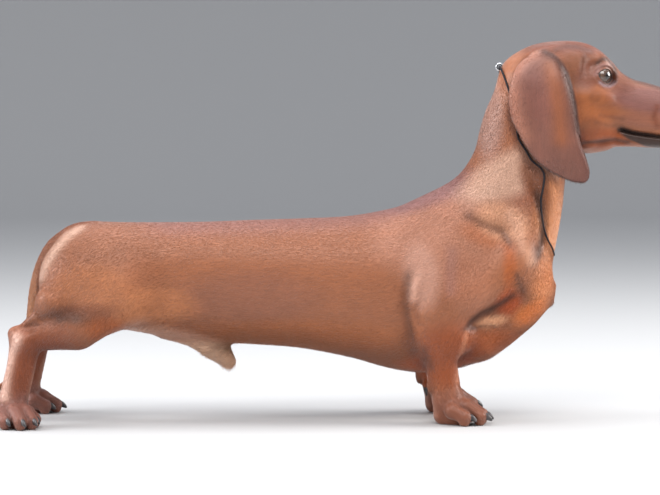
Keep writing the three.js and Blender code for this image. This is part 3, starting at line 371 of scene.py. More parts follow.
lower_jaw = sliced(
    "x",
    [
        [575, 300, 286, 270, 23],
        [590, 300, 285, 269.5, 22.5],
        [606, 298, 283, 271.3, 20.5],
        [630, 295, 281, 272, 18.5],
        [655, 291, 279, 271, 16.8],
        [675, 289, 278, 271.5, 14.5],
        [685, 287, 279, 273.5, 11],
        [690, 284, 280.5, 277, 5.5],
    ],
    squareness=2.2,
)
ROUND_EYE = EYE["socket"] + LID
HEAD = [
    (skull, 0),
    (upper_jaw, 8),
    (egg([578, 25, 298], [24, 13, 28], 20), 12),  # cheek
    (egg([590, 27, 322], [22, 8, 7], -8), 10),  # cheekbone
    (egg([598, 17, 357], [13, 10, 8], -35), 8),  # brow
    (egg([552, 21, 354], [26, 14, 18]), 12),  # temple
    (egg(EYE["centre"], [ROUND_EYE] * 3), 5),
]
NOSE = {"centre": (690, 0, 309.5), "radii": (11, 12.5, 9.8), "pitch": -14}
nose_form = egg(NOSE["centre"], NOSE["radii"], NOSE["pitch"])
nostrils = [
    cone([702, 5, 311], [691, 7.5, 312], 2.5, 2.2),
    cone([699, 8.5, 309], [691, 13.5, 306.5], 1.3, 1.1),
]
LIDS = {"width": 17, "height": 12.5, "slope": -12, "thick": 1.4, "rim": 2.4}
LIDS_BEGIN = 4  # how far before the eye's middle
MOUTH = [[619.5, 289], [631, 286.3], [644, 284.3], [658, 282.3], [672, 281.2], [684, 282], [691, 285]]
HEAD_FURROWS = [
    (2.2, 1.3, MOUTH),
    (-1.1, 2.2, [[621, 292.5], [632, 290], [658, 286.5], [680, 286]]),  # upper lip
    (-0.8, 1.8, [[622, 286], [632, 282.5], [658, 278], [680, 277.5]]),  # lower lip
    (0.9, 3.5, [[655, 309], [652, 300], [655, 292]]),  # behind the whisker pad
    (1.9, 2.6, [[580, 276], [600, 277.5], [614, 279], [630, 276.5]]),  # fold of the cheek over the jaw
    (1.2, 4, [[598, 324], [604, 320], [612, 322]]),  # below the eye
    (1, 3, [[586, 344], [590, 352], [596, 356]]),  # behind the brow
    (0.9, 4, [[556, 366], [568, 370.5], [579, 369.5], [590, 365]]),  # above the temple
    (1, 3, [[584, 362], [582.5, 352], [582, 340]]),  # in front of the temple
]


def eye_frame(p):
    """Places on the eyeball seen along its gaze: out of the head, across and up the sloping lids."""
    g, s = math.radians(EYE["gaze"]), math.radians(LIDS["slope"])
    dx, dy, dz = (p - EYE["centre"]).T
    out = dx * math.cos(g) + dy * math.sin(g)
    across = dx * math.sin(g) - dy * math.cos(g)
    u = across * math.cos(s) + dz * math.sin(s)
    v = dz * math.cos(s) - across * math.sin(s)
    return out, u, v


def lens(u, v):
    """The distance to the edge of the opening between the lids, negative inside it."""
    radius = (LIDS["width"] ** 2 / LIDS["height"] + LIDS["height"]) / 4
    return np.hypot(u, np.abs(v) + radius - LIDS["height"] / 2) - radius


def head_blended(p):
    """The jaws, blended widely at the cheek and with a crease where the mouth is."""
    return smooth_min(head_upper(p), lower_jaw(p), mix(18, 1.6, ramp(606, 624, p[:, 0])))


head_upper = joined(HEAD)
bare_head = furrowed(HEAD_FURROWS, head_blended)


def head_ahead(p):
    """The head set straight ahead, with its nose, nostrils and the openings of the lids."""
    p = mirror(p)
    d = bare_head(p)
    d = smooth_min(d, nose_form(p), 2.5)
    for nostril in nostrils:
        d = smooth_max(d, -nostril(p), 1)
    out, u, v = eye_frame(p)
    opening = lens(u, v)
    off_ball = EYE["socket"] + LIDS["thick"] - np.linalg.norm(p - EYE["centre"], axis=1)
    behind = LIDS_BEGIN - out
    d = smooth_max(d, -smooth_max(smooth_max(opening - LIDS["rim"], off_ball, 2), behind, 1), 3)
    return smooth_max(d, -smooth_max(opening, behind, 1), 0.6)


head = within([600, -12, 322], 122, lambda p: head_ahead(straightened(p)))

# Ears
EAR_OUTLINE = [
    [550, 367], [559, 361], [565, 350], [569, 339], [573, 325], [576, 310], [577.5, 297], [580, 284],
    [584, 270], [588, 258], [590.5, 248], [590, 242], [587, 238], [582, 236.5], [573, 238], [561, 243],
    [548, 250], [536, 260], [527, 272], [520, 285], [513.5, 297], [510, 310], [509.5, 326], [513, 342],
    [520.5, 356], [534, 364.5],
]
EAR_EDGE = rounded(EAR_OUTLINE, 4, closed=True)
EAR_THICKNESS, EAR_ROUNDING = 3.4, 3.4
EAR_CURL = {"rear": 1.6, "front": 5, "reach": 9}  # how far its edge turns in
EAR_WAVE = {"height": 1.1, "middle": 556, "length": 5.5}
EAR_BOW = {"height": 2.5, "middle": 550, "length": 34}
EAR_SLOPE = 0.93  # the cosine of the flap's mean slope
EAR_LEVELS = [  # how far out the flap hangs, by height
    [225, 40], [240, 42.5], [262, 45.5], [290, 46.5], [315, 46], [335, 44], [350, 40], [360, 35.5],
    [372, 27],
]
ear_level = between(EAR_LEVELS)


def distance_to_edge(x, z):
    """The distance to the ear's outline seen from the side, negative inside it."""
    near = near_line(x, z, np.concatenate([EAR_EDGE, EAR_EDGE[:1]]))
    inside = np.zeros(len(x), bool)
    for (ax, az), (bx, bz) in zip(np.roll(EAR_EDGE, 1, 0), EAR_EDGE):
        if az != bz:
            inside ^= ((az > z) != (bz > z)) & (x < ax + (z - az) / (bz - az) * (bx - ax))
    return np.where(inside, -near, near)


EDGE_STEP = 0.5
EDGE_X = np.arange(480, 625, EDGE_STEP)
EDGE_Z = np.arange(205, 400, EDGE_STEP)
edge_places = [places.ravel() for places in np.meshgrid(EDGE_X, EDGE_Z, indexing="ij")]
EDGE_TABLE = distance_to_edge(*edge_places).reshape(len(EDGE_X), len(EDGE_Z))


def ear_edge(x, z):
    """The same, read from a fine table."""
    i = np.clip((x - EDGE_X[0]) / EDGE_STEP, 0, len(EDGE_X) - 1.001)
    k = np.clip((z - EDGE_Z[0]) / EDGE_STEP, 0, len(EDGE_Z) - 1.001)
    i0, k0 = i.astype(int), k.astype(int)
    a, b = i - i0, k - k0
    low = mix(EDGE_TABLE[i0, k0], EDGE_TABLE[i0 + 1, k0], a)
    return mix(low, mix(EDGE_TABLE[i0, k0 + 1], EDGE_TABLE[i0 + 1, k0 + 1], a), b)


def ear_ahead(p):
    x, y, z = mirror(p).T
    edge = ear_edge(x, z)
    curl = mix(EAR_CURL["rear"], EAR_CURL["front"], ramp(538, 560, x))
    curl = curl * (1 - clamp01(-edge / EAR_CURL["reach"])) ** 2 * ramp(245, 275, z)
    wave = EAR_WAVE["height"] * np.cos((x - EAR_WAVE["middle"]) / EAR_WAVE["length"])
    wave = wave * ramp(240, 280, z) * ramp(366, 340, z)
    bow = EAR_BOW["height"] * ((x - EAR_BOW["middle"]) / EAR_BOW["length"]) ** 2
    sheet = np.abs(y - (ear_level(z, 1) - curl + wave - bow)) * EAR_SLOPE - EAR_THICKNESS / 2
    return smooth_max(sheet, edge, EAR_ROUNDING)


ears = within([548, 0, 305], 85, lambda p: ear_ahead(straightened(p)))

# Legs
FORE = {
    "right": dict(elbow=[436, 50, 102], wrist=[440, 46, 46], paw=[446, 50], toes_out=12),
    "left": dict(elbow=[431, 50, 102], wrist=[435, 46, 46], paw=[445, 50], toes_out=10),
}
HIND = {
    "right": dict(knee=[79, 54, 94], hock=[32, 57, 85], heel=[21.5, 56, 91], paw=[18, 60], toes_out=58),
    "left": dict(knee=[82, 54, 93], hock=[36, 57, 84], heel=[25, 56, 88], paw=[22, 58], toes_out=14),
}
SIZE = {"fore": 1, "hind": 0.93}  # of the paws
HALF_PASTERN = 4.5  # between the middles of its two bones, which make it wider than deep


def plus(p, *step):
    return [a + b for a, b in zip(p, step)]


def fore_leg(leg):
    elbow, wrist, paw = leg["elbow"], leg["wrist"], leg["paw"]
    return [
        (cone(elbow, wrist, 20, 14), 0),
        (egg(plus(elbow, 4, -1, -18), [19.5, 17, 30], -88), 8),
        (cone(plus(elbow, -12, 2, 4), plus(wrist, -4, 0, 6), 10, 9), 8),
        (cone(wrist, [paw[0], paw[1], 22], 14, 15), 8),
        (cone(plus(wrist, -3, -9, -9), plus(wrist, -6, -11.5, -16), 5, 4), 3),  # dewclaw
        (cone(plus(wrist, -11, 0, -8), plus(wrist, -11, 0, -12), 5, 4.5), 4),  # pad behind the wrist
    ]


def hind_leg(leg):
    knee, hock, heel, paw = leg["knee"], leg["hock"], leg["heel"], leg["paw"]
    a = math.radians(leg["toes_out"])
    aside, ahead = HALF_PASTERN * math.cos(a), HALF_PASTERN * math.sin(a)
    return [
        (egg([90, 35, 138], [47, 26, 44], 0, 10), 0),  # thigh
        (cone([121, 36, 125], plus(knee, 4, -2, 3), 30, 19), 20),  # front of the thigh
        (cone([78, 38, 142], plus(knee, -23, 0, 28), 28, 15), 20),  # back of the thigh
        (egg(plus(knee, 0, 0, 3), [23, 18, 19]), 14),
        (cone(knee, hock, 17, 12.5), 8),
        (egg(plus(knee, -18, -1, -2), [24, 15, 15], 6), 8),  # calf
        (cone(plus(heel, 37, -2, 28), plus(heel, 19, -1, 12), 13, 7), 12),  # tendon above the heel
        (cone(plus(heel, 19, -1, 12), heel, 7, 6.5), 6),
        (cone(plus(heel, 6, 0, 3), plus(heel, 26, -1, 5), 5, 7), 4),  # skin between it and the shin
        (cone(hock, heel, 12, 7), 5),
        (cone(heel, plus(heel, 2, 0, -30), 6.5, 7), 5),  # back of the pastern
        *[
            (cone(plus(hock, x, y, -4), [paw[0] + 1 + x, paw[1] + y, 26], 10.5, 10.5), 8)
            for x, y in ((-ahead, aside), (ahead, -aside))
        ],
    ]


# Places on the paw are [forward, sideways] of its middle. The outer toes lie lower.
TOES = [
    {"knuckle": (5, -15), "tip": (17, -17), "rise": 0.84},
    {"knuckle": (17, -6), "tip": (31, -6.6), "rise": 1},
    {"knuckle": (17, 6), "tip": (31, 6.6), "rise": 1},
    {"knuckle": (5, 15), "tip": (17, 17), "rise": 0.84},
]


def on_paw(leg):
    """A place on a paw, from [forward, sideways] of its middle and a height."""
    a, size = math.radians(leg["toes_out"]), SIZE[leg["kind"]]

    def place(spot, z):
        forward, sideways = spot
        return [
            leg["paw"][0] + (forward * math.cos(a) - sideways * math.sin(a)) * size,
            leg["paw"][1] + (forward * math.sin(a) + sideways * math.cos(a)) * size,
            z * size,
        ]

    return place


def paw_forms(leg):
    place, size = on_paw(leg), SIZE[leg["kind"]]
    forms = [
        (cone(place([-2, 0], 24), place([6, 0], 15), 14.5 * size, 14 * size), 6),
        (cone(place([-5, 0], 9), place([9, 0], 8), 11 * size, 13 * size), 6),
    ]
    for toe in TOES:
        root, knuckle = [v * 0.35 for v in toe["knuckle"]], place(toe["knuckle"], 17.5 * toe["rise"])
        forms.append((cone(place(root, 20), knuckle, 8 * size, 7.8 * size), 3.5))
        forms.append((cone(knuckle, place(toe["tip"], 9), 7.8 * size, 7.2 * size), 2.4))
        forms.append((cone(place(toe["tip"], 8), place(toe["tip"], 5), 7.4 * size, 6.2 * size), 1.5))
    return forms


LEGS = [
    {"name": f"{kind}_leg_{side}", "kind": kind, "side": -1 if side == "right" else 1, **sides[side]}
    for kind, sides in (("fore", FORE), ("hind", HIND))
    for side in ("right", "left")
]
REACH = {"fore": ((450, 50, 60), 75), "hind": ((65, 50, 90), 120)}  # spheres round the legs


def leg_form(leg):
    limb = fore_leg(leg) if leg["kind"] == "fore" else hind_leg(leg)
    form = joined(limb + paw_forms(leg))
    (x, y, z), radius = REACH[leg["kind"]]
    return within([x, y * leg["side"], z], radius, lambda p: form(p * [1, leg["side"], 1]))


for leg in LEGS:
    leg["form"] = leg_form(leg)

BODY_FURROWS = [
    (2.6, 5.5, [[407, 148], [404, 133], [402, 118], [404, 104], [408, 89], [412, 75]]),  # behind the arm
    (-1.6, 4.5, [[414, 147], [410, 134], [408, 121]]),  # fold of skin there
    (2, 3.5, [[417, 124], [412, 112], [414, 102], [419, 93]]),  # behind the elbow
    (1.6, 7, [[465, 206], [475, 199.5], [485, 195.5], [500, 189], [508, 171], [511, 151]]),  # shoulder blade
    (2.9, 5, [[511, 129], [496, 119], [486, 114], [476, 109], [468, 102], [461, 93]]),  # below the upper arm
    (1.3, 3, [[468, 94.5], [476, 97.5], [484, 98.5], [493, 96.5]]),  # breast
    (3.6, 5, [[527, 248], [533, 225], [538, 210], [540, 195], [538, 180], [534, 165]]),  # beside the windpipe
    (-1, 6, [[511, 206], [521, 182], [526, 160]]),  # strap of the neck
    (1.8, 7, [[42, 104], [53, 107.5], [65, 109.5], [78, 109.5], [92, 105]]),  # above the calf
    (1.8, 4, [[22, 97.5], [30, 97.5], [39, 99.5], [47, 103]]),  # before the heel's tendon
    (1.5, 6, [[132, 96], [150, 98], [172, 99.5], [201, 96]]),  # flank
]
TAIL = [  # x, z and radius
    [96, 181, 15.5], [79, 179, 15.8], [60, 170, 14], [47, 151, 11.6], [39.5, 129, 9.8],
    [35.5, 105, 8.4], [31, 80, 7], [23, 58, 5.5], [11, 41, 4], [-3, 31, 2.4],
]
tail_path = rounded(TAIL, 3)
tail = joined(
    [
        (cone([ax, 0, az], [bx, 0, bz], ra, rb), 2)
        for (ax, az, ra), (bx, bz, rb) in zip(tail_path, tail_path[1:])
    ],
    [45, 0, 105],
    110,
)
whole_trunk = within([300, 0, 150], 300, lambda p: trunk_side(mirror(p)))
BODY = [(whole_trunk, 0), (head, 12), (sheath, 9)]
BODY += [(leg["form"], 14 if leg["kind"] == "fore" else 20) for leg in LEGS]
body = furrowed(BODY_FURROWS, joined(BODY))
EAR_BLEND = 5
TAIL_BLEND = 6
FLOOR_GAP = 0.05


def coat_depth(p):
    """How far the skin lies inside the solids: least on the face and feet."""
    head_side = straightened(p)
    face = ramp(560, 600, head_side[:, 0]) * ramp(250, 262, p[:, 2])
    foot = 1 - ramp(30, 70, p[:, 2])
    return mix(DEPTH, FACE_DEPTH, np.maximum(face, foot))


def skin_field(p):
    """The solids' outer surface as one form, less the coat's depth."""
    d = np.maximum(body(p) + coat_depth(p), FLOOR_GAP - p[:, 2])
    return blended(blended(d, p, ears, EAR_BLEND, EAR_DEPTH), p, tail, TAIL_BLEND, DEPTH)


# Meshes from fields, by surface nets on a grid whose steps are finest at the head and the feet
GRADE = 25  # over this length a fine step grows to the coarse one
BLOCKS = [(8, 2, 2), (2, 1, 1.2)]  # cells along a block, along the next smaller ones, and the slack
BLOCK_SLACK = 1.3  # the fields aren't true distances, so blocks a little far away are kept too
AT_ONCE = 200000  # points asked for at a time
PROBE = 0.05  # step by which a field's slope is felt
LEAST_SQUARE = 0.05  # of a slope, so that points don't jump where a field is flat
SETTLING_ROUNDS = 3


def graded(low, high, coarse, stretches):
    """Grid places from low to high, with finer steps inside the (start, end, step) stretches."""
    places = [low]
    while places[-1] < high:
        at = places[-1]
        step = coarse
        for start, end, fine in stretches:
            away = max(start - at, at - end, 0)
            step = min(step, fine + (coarse - fine) * min(away / GRADE, 1))
        places.append(at + step)
    return np.array(places)


def block_middles(axes, starts, size):
    """The middles and half diagonals of blocks of cells that start at these indices."""
    ends = [np.minimum(s + size, len(a) - 1) for s, a in zip(starts, axes)]
    low = np.stack([a[s] for a, s in zip(axes, starts)], 1)
    high = np.stack([a[e] for a, e in zip(axes, ends)], 1)
    return (low + high) / 2, np.linalg.norm(high - low, axis=1) / 2


def lattice(ends, step):
    """All [i, j, k] below these ends, a step apart."""
    return np.stack(np.meshgrid(*[np.arange(0, n, step) for n in ends], indexing="ij"), -1).reshape(-1, 3)


def asked(field, points):
    parts = np.array_split(points, max(len(points) // AT_ONCE, 1))
    return np.concatenate([field(part) for part in parts])


def sampled(field, axes):
    """The field on the grid. Blocks far from the surface take the value at their middle."""
    shape = np.array([len(a) for a in axes])
    value = np.empty(shape, np.float32)
    starts = lattice(shape, BLOCKS[0][0])
    for size, next_size, slack in BLOCKS:
        middle, reach = block_middles(axes, starts.T, size)
        d = asked(field, middle)
        for offset in lattice([size] * 3, 1):
            value[tuple(np.minimum(starts + offset, shape - 1).T)] = d
        close = np.abs(d) < reach * BLOCK_SLACK + slack
        starts = (starts[close][:, None] + lattice([size] * 3, next_size)).reshape(-1, 3)
        starts = starts[(starts < shape).all(1)]
    value[tuple(starts.T)] = asked(field, np.stack([a[s] for a, s in zip(axes, starts.T)], 1))
    return value


CORNERS = np.array([[c & 1, c >> 1 & 1, c >> 2] for c in range(8)])
EDGES = [(c, c | 1 << axis, axis) for c in range(8) for axis in range(3) if not c >> axis & 1]


def settled(field, points, most):
    """Points moved onto the field's surface, by at most so far."""
    low, high = points - most[:, None], points + most[:, None]
    for _ in range(SETTLING_ROUNDS):
        d = field(points)
        slope = np.stack([(field(points + PROBE * axis) - d) / PROBE for axis in np.eye(3)], 1)
        square = np.maximum((slope * slope).sum(1), LEAST_SQUARE)
        points = np.clip(points - (d / square)[:, None] * slope, low, high)
    return points


def surface_net(field, axes):
    """The field's zero level as points in millimetres and quads."""
    value = sampled(field, axes)
    inside = value < 0
    nx, ny, nz = (n - 1 for n in value.shape)
    count = np.zeros((nx, ny, nz), np.uint8)
    for i, j, k in CORNERS:
        count += inside[i : nx + i, j : ny + j, k : nz + k]
    cells = np.stack(np.nonzero((count > 0) & (count < 8)), 1)
    number = np.full((nx, ny, nz), -1, np.int32)
    number[tuple(cells.T)] = np.arange(len(cells))
    corner = np.stack([value[tuple((cells + c).T)] for c in CORNERS], 1)
    total = np.zeros((len(cells), 3))
    crossings = np.zeros(len(cells))
    for a, b, axis in EDGES:
        va, vb = corner[:, a], corner[:, b]
        crossed = (va < 0) != (vb < 0)
        t = np.where(crossed, va / np.where(crossed, va - vb, 1), 0)
        spot = np.tile(CORNERS[a].astype(float), (len(cells), 1))
        spot[:, axis] += t
        total += spot * crossed[:, None]
        crossings += crossed
    inner = total / crossings[:, None]
    low = np.stack([a[c] for a, c in zip(axes, cells.T)], 1)
    size = np.stack([a[c + 1] - a[c] for a, c in zip(axes, cells.T)], 1)
    points = settled(field, low + inner * size, size.min(1) / 2)
    quads = []
    for axis, (u, v) in enumerate(((1, 2), (2, 0), (0, 1))):
        near = [slice(1, -1)] * 3
        far = list(near)
        near[axis], far[axis] = slice(0, -1), slice(1, None)
        here, there = inside[tuple(near)], inside[tuple(far)]
        spots = np.stack(np.nonzero(here != there), 1) + 1
        spots[:, axis] -= 1
        back_u, back_v = np.eye(3, dtype=int)[u], np.eye(3, dtype=int)[v]
        ring = [number[tuple((spots - s).T)] for s in (0 * back_u, back_u, back_u + back_v, back_v)]
        ring = np.stack(ring, 1)
        out = inside[tuple(spots.T)]
        ring[~out] = ring[~out][:, ::-1]
        quads.append(ring)
    return points, np.concatenate(quads)


def mesh_of(name, points, faces):
    """A new object from points in millimetres and faces of one size, or of a list of sizes."""
    mesh = bpy.data.meshes.new(name)
    mesh.vertices.add(len(points))
    mesh.vertices.foreach_set("co", to_metres(points).astype(np.float32).ravel())
    groups = faces if isinstance(faces, list) else [faces]
    corners = np.concatenate([group.ravel() for group in groups]).astype(np.int32)
    sizes = np.concatenate([np.full(len(group), group.shape[1]) for group in groups])
    mesh.loops.add(len(corners))
    mesh.loops.foreach_set("vertex_index", corners)
    mesh.polygons.add(len(sizes))
    mesh.polygons.foreach_set("loop_start", (np.cumsum(sizes) - sizes).astype(np.int32))
    mesh.update(calc_edges=True)
    mesh.validate()
    mesh.polygons.foreach_set("use_smooth", np.ones(len(mesh.polygons), bool))
    thing = bpy.data.objects.new(name, mesh)
    bpy.context.scene.collection.objects.link(thing)
    return thing


# Markings, painted highlights and painted shade, shared by the skin and the coat
def srgb(r, g, b):
    """A linear colour from the usual 0 to 255 values."""
    c = np.array([r, g, b], float) / 255
    return np.where(c <= 0.04045, c / 12.92, ((c + 0.055) / 1.055) ** 2.4)


COAT = srgb(160, 97, 63)
BLACK = srgb(30, 25, 25)
LIP_COLOUR = srgb(62, 38, 28)
LID_COLOUR = srgb(74, 56, 56)
EAR_COLOUR = srgb(128, 81, 67)
MARK_EDGE = (1.25, 0.55)  # a mark fades from its strength between these shares of its radii
# Each mark is a soft egg: (colour, centre, radii, pitch, strength). Some are painted highlights, sheen and
# shade, as noted. Marks of the head lie straight ahead.
BODY_COLOURS_AND_LIGHT = [
    ((148, 94, 80), (260, 0, 215), (330, 70, 34), 2, 0.9),  # along the back: the coat's darker back, with a painted mauve sheen of the sky
    ((150, 93, 67), (250, 60, 125), (70, 44, 30), 0, 0.8),  # flank
    ((190, 118, 73), (152, 50, 116), (46, 44, 22), 0, 0.9),  # before the thigh
    ((175, 102, 57), (280, 30, 84), (150, 60, 20), 3, 0.8),  # belly
    ((156, 96, 64), (102, 30, 178), (64, 56, 32), 0, 0.9),  # rump
    ((188, 119, 78), (100, 50, 136), (40, 40, 26), 0, 0.9),  # thigh
    ((142, 82, 51), (84, 50, 111), (44, 44, 12), 4, 0.9),  # painted shade in the hollow above the calf
    ((166, 84, 32), (108, 50, 96), (22, 40, 14), 0, 0.8),  # knee
    ((150, 88, 58), (66, 54, 92), (26, 40, 13), 0, 0.8),  # calf
    ((188, 127, 99), (432, 60, 186), (64, 46, 46), 0, 0.9),  # shoulder, with a painted broad highlight
    ((144, 96, 90), (430, 0, 226), (66, 44, 24), 12, 0.9),  # withers, with a painted mauve sheen of the sky
    ((181, 116, 85), (464, 56, 136), (28, 34, 30), 0, 0.8),  # upper arm
    ((188, 110, 68), (480, 50, 187), (28, 34, 12), -18, 0.6),  # before the shoulder blade, a painted orange highlight on its top
    ((172, 84, 26), (504, 44, 152), (9, 34, 42), 0, 0.7),  # before the arm
    ((200, 84, 14), (504, 40, 122), (16, 34, 16), 0, 0.8),  # point of the arm
    ((232, 146, 90), (536, 14, 144), (22, 46, 30), 0, 0.9),  # front of the chest
    ((238, 134, 62), (526, 20, 110), (24, 44, 14), 30, 0.9),  # breast
    ((178, 90, 37), (482, 20, 80), (44, 60, 15), 8, 0.9),  # below the breast
    ((252, 184, 138), (487, 36, 101.5), (21, 30, 7), 12, 0.85),  # painted highlight on the fold there
    ((224, 147, 95), (548, 26, 205), (20, 44, 46), 0, 0.9),  # throat
    ((205, 160, 135), (505, 40, 246), (24, 40, 56), -65, 0.95),  # side of the neck
    ((220, 160, 124), (498, 46, 200), (30, 34, 20), -20, 0.9),  # root of the neck
    ((172, 127, 110), (489, 10, 300), (15, 44, 46), 0, 0.9),  # nape, with a painted mauve sheen of the sky
    ((126, 64, 26), (532, 40, 236), (14, 34, 34), 20, 0.85),  # painted shadow below the ear
    ((220, 163, 134), (176, 0, 84), (64, 40, 15), -12, 0.9),  # groin
    ((252, 206, 172), (214, 0, 66), (34, 18, 22), -30, 0.9),  # sheath
    ((156, 74, 26), (444, 50, 70), (36, 46, 40), 0, 0.9),  # forearms
    ((206, 98, 38), (436, 30, 60), (40, 14, 40), 0, 0.7),  # their inner sides
    ((139, 82, 59), (455, 50, 14), (48, 52, 24), 0, 0.9),  # fore paws
    ((134, 62, 24), (38, 57, 58), (60, 50, 44), 0, 0.9),  # hind pasterns
    ((136, 86, 73), (26, 60, 12), (50, 52, 24), 0, 0.9),  # hind paws
    ((214, 162, 140), (419, 62, 148), (19, 30, 36), 8, 0.6),  # painted highlight behind the arm
    ((205, 141, 100), (34, 0, 100), (26, 16, 80), 12, 0.8),  # tail
]
# Each stroke seen from the side is (colour, width, strength, places [x, z]); most are painted shade in
# creases and painted highlights
STROKES = [
    # Behind the arm: painted shade in the furrow, and a painted highlight on the fold of skin there
    ((84, 46, 28), 5, 0.45, [[407, 149], [404, 134], [402, 118], [404, 104], [408, 89], [412, 75]]),
    ((226, 172, 148), 4, 0.6, [[415, 150], [411, 138], [409, 126]]),
    # Painted shade in the creases below the upper arm, before the shoulder blade and at the breast
    ((84, 42, 22), 3.5, 0.8, [[509, 128], [495, 119], [486, 114], [476, 109.5], [468, 103], [461, 94]]),
    ((104, 58, 36), 4.5, 0.75, [[465, 206], [476, 199], [486, 195], [497, 190], [504, 180]]),
    ((84, 42, 22), 1.6, 0.7, [[468, 94.5], [480, 96.5], [493, 96.5]]),
    ((92, 50, 30), 3, 0.7, [[511, 148], [515, 140], [519, 131]]),  # painted shade in the crease at the point of the arm
    ((98, 58, 38), 8, 0.55, [[40, 104], [56, 108], [72, 110], [90, 108]]),  # painted shade in the hollow above the calf
    ((74, 42, 28), 4.5, 0.5, [[66, 107.5], [74, 107], [82, 106.5]]),  # painted shade at its deepest part
    ((74, 42, 26), 4.5, 0.8, [[533, 228], [537, 210], [539, 195], [537, 180], [533, 165]]),  # painted shade in the groove beside the windpipe
    ((88, 48, 28), 5, 0.6, [[530, 172], [528, 158]]),  # painted shade at its lower end
    ((218, 164, 134), 6, 0.6, [[506, 207], [515, 184], [525, 161]]),  # painted highlight on the strap of the neck
    ((206, 132, 96), 2.6, 0.8, [[462, 90], [459, 78], [457, 66], [453, 44]]),  # painted highlight along the edge of the forearm
    ((234, 192, 168), 4.6, 0.72, [[84, 194], [72, 186], [61, 174], [51, 160], [46, 147]]),  # buttock: its light hairs, with a painted highlight along the edge
    ((240, 194, 174), 5.5, 0.85, [[24, 88], [17, 72], [13, 52], [11, 32]]),  # painted sky reflection on the rear of the pastern
    ((190, 124, 92), 3, 0.7, [[46, 66], [39, 47], [36, 30]]),  # painted highlight along its front edge
    ((176, 116, 90), 4, 0.35, [[44, 100], [52, 101], [59, 99]]),  # painted highlight above the hock
    ((168, 118, 106), 6, 0.5, [[448, 172], [447, 153], [446, 134]]),  # painted bluish sheen down the upper arm
    ((190, 134, 112), 3, 0.7, [[427, 26], [429, 16], [431, 8]]),  # painted highlight on the pad behind the wrist
    ((84, 48, 34), 4, 0.55, [[421, 76], [424, 66], [428, 56]]),  # painted shade in the gap behind the forearm
]
HEAD_COLOURS_AND_SHADE = [
    ((116, 52, 22), (560, 0, 372), (66, 44, 26), 0, 0.9),  # top of the skull
    ((178, 118, 88), (512, 0, 340), (20, 50, 34), 0, 0.8),  # back of the skull
    ((129, 76, 49), (578, 34, 350), (18, 24, 22), 0, 0.8),  # temple
    ((166, 93, 48), (592, 40, 312), (30, 34, 24), 0, 0.9),  # cheek
    ((158, 72, 16), (602, 30, 280), (40, 34, 12), 0, 0.8),  # under the jaw
    ((134, 86, 79), (652, 22, 318), (50, 24, 16), -8, 0.9),  # side of the muzzle
    ((150, 93, 73), (652, 24, 298), (36, 20, 10), -4, 0.7),  # above the lips
    ((78, 46, 40), (655, 0, 338), (60, 16, 16), -12, 0.85),  # bridge of the nose
    ((122, 70, 54), (588, 30, 342), (14, 16, 18), -30, 0.7),  # behind the eye
    ((124, 71, 55), (622, 22, 336), (16, 14, 12), -30, 0.7),  # before the eye
    ((112, 60, 32), (595, 32, 322), (8, 12, 7), 40, 0.5),  # below the eye
    ((120, 66, 40), (590, 36, 292), (12, 20, 12), 0, 0.5),  # before the ear: painted shade low on the cheek
]
HEAD_STROKES = [
    ((68, 38, 28), 2.8, 0.85, [[597, 355], [602, 359], [608, 358.5], [613, 352], [615, 345]]),  # painted shadow under the brow
    ((172, 128, 120), 2.4, 0.8, [[595.5, 344], [598.5, 350], [603.5, 353.5], [608.5, 352]]),  # upper lid
    ((156, 134, 142), 2, 0.8, [[600, 336], [604, 333], [609, 332.5], [613, 336]]),  # lower lid
    ((80, 52, 52), 1.6, 0.7, [[611.5, 340], [614.5, 337]]),  # inner corner
    ((92, 48, 30), 3, 0.6, [[556, 368], [566, 372], [578, 371], [590, 367]]),  # painted shade in the fold above the temple
    ((96, 52, 34), 2.4, 0.5, [[584, 362], [582, 352], [580, 341]]),  # painted shade in the crease before it
    ((104, 56, 34), 2.4, 0.4, [[600, 304], [612, 302], [622, 300]]),  # painted shade in the folds of the cheek
    ((104, 56, 34), 2.4, 0.4, [[596, 297], [606, 294], [616, 293]]),  # painted shade in the lower one
    ((70, 38, 24), 2.2, 0.6, [[582, 276], [600, 278], [615, 280], [628, 277]]),  # painted shade in the fold over the jaw
    ((120, 56, 26), 3, 0.6, [[656, 312], [653, 302], [656, 293]]),  # painted shade in the crease behind the whisker pad
    ((34, 24, 22), 4.6, 0.9, [[622, 289], [627, 286.5], [631, 283]]),  # corner of the lips
]
# Strokes on the flap, as on the body
EAR_STROKES = [
    ((128, 78, 66), 18, 0.8, [[530, 352], [540, 330], [544, 310]]),  # its middle
    ((194, 132, 108), 9, 0.9, [[508, 330], [512, 346], [521, 359], [534, 367]]),  # painted highlight along its rear edge
    ((182, 120, 96), 10, 0.7, [[512, 322], [516, 304], [524, 284]]),  # below that
    ((158, 90, 54), 8, 0.75, [[551, 352], [557, 330], [560, 305], [562, 280]]),  # along the fold
    # Its front edge: a painted shadow where the edge turns in towards the cheek
    ((74, 38, 26), 6, 0.92, [[547, 368], [558, 361], [567, 346], [573, 328], [578, 309], [580, 292]]),
    ((111, 65, 55), 5, 0.6, [[582, 270], [588, 252], [586, 240], [572, 238]]),  # its tip
]
LOWER_LIP = [[617, 287], [622, 284], [632, 278.5], [645, 273], [660, 270.5], [676, 270.5], [690, 276]]


def inside_egg(p, centre, radii, pitch):
    c, s = math.cos(math.radians(pitch)), math.sin(math.radians(pitch))
    dx, dy, dz = (p - centre).T
    along, up = dx * c + dz * s, dz * c - dx * s
    share = np.sqrt((along / radii[0]) ** 2 + (dy / radii[1]) ** 2 + (up / radii[2]) ** 2)
    return ramp(*MARK_EDGE, share)


def painted(base, marks, p):
    for colour, centre, radii, pitch, strength in marks:
        w = strength * inside_egg(p, centre, radii, pitch)
        base += (srgb(*colour) - base) * w[:, None]
    return base


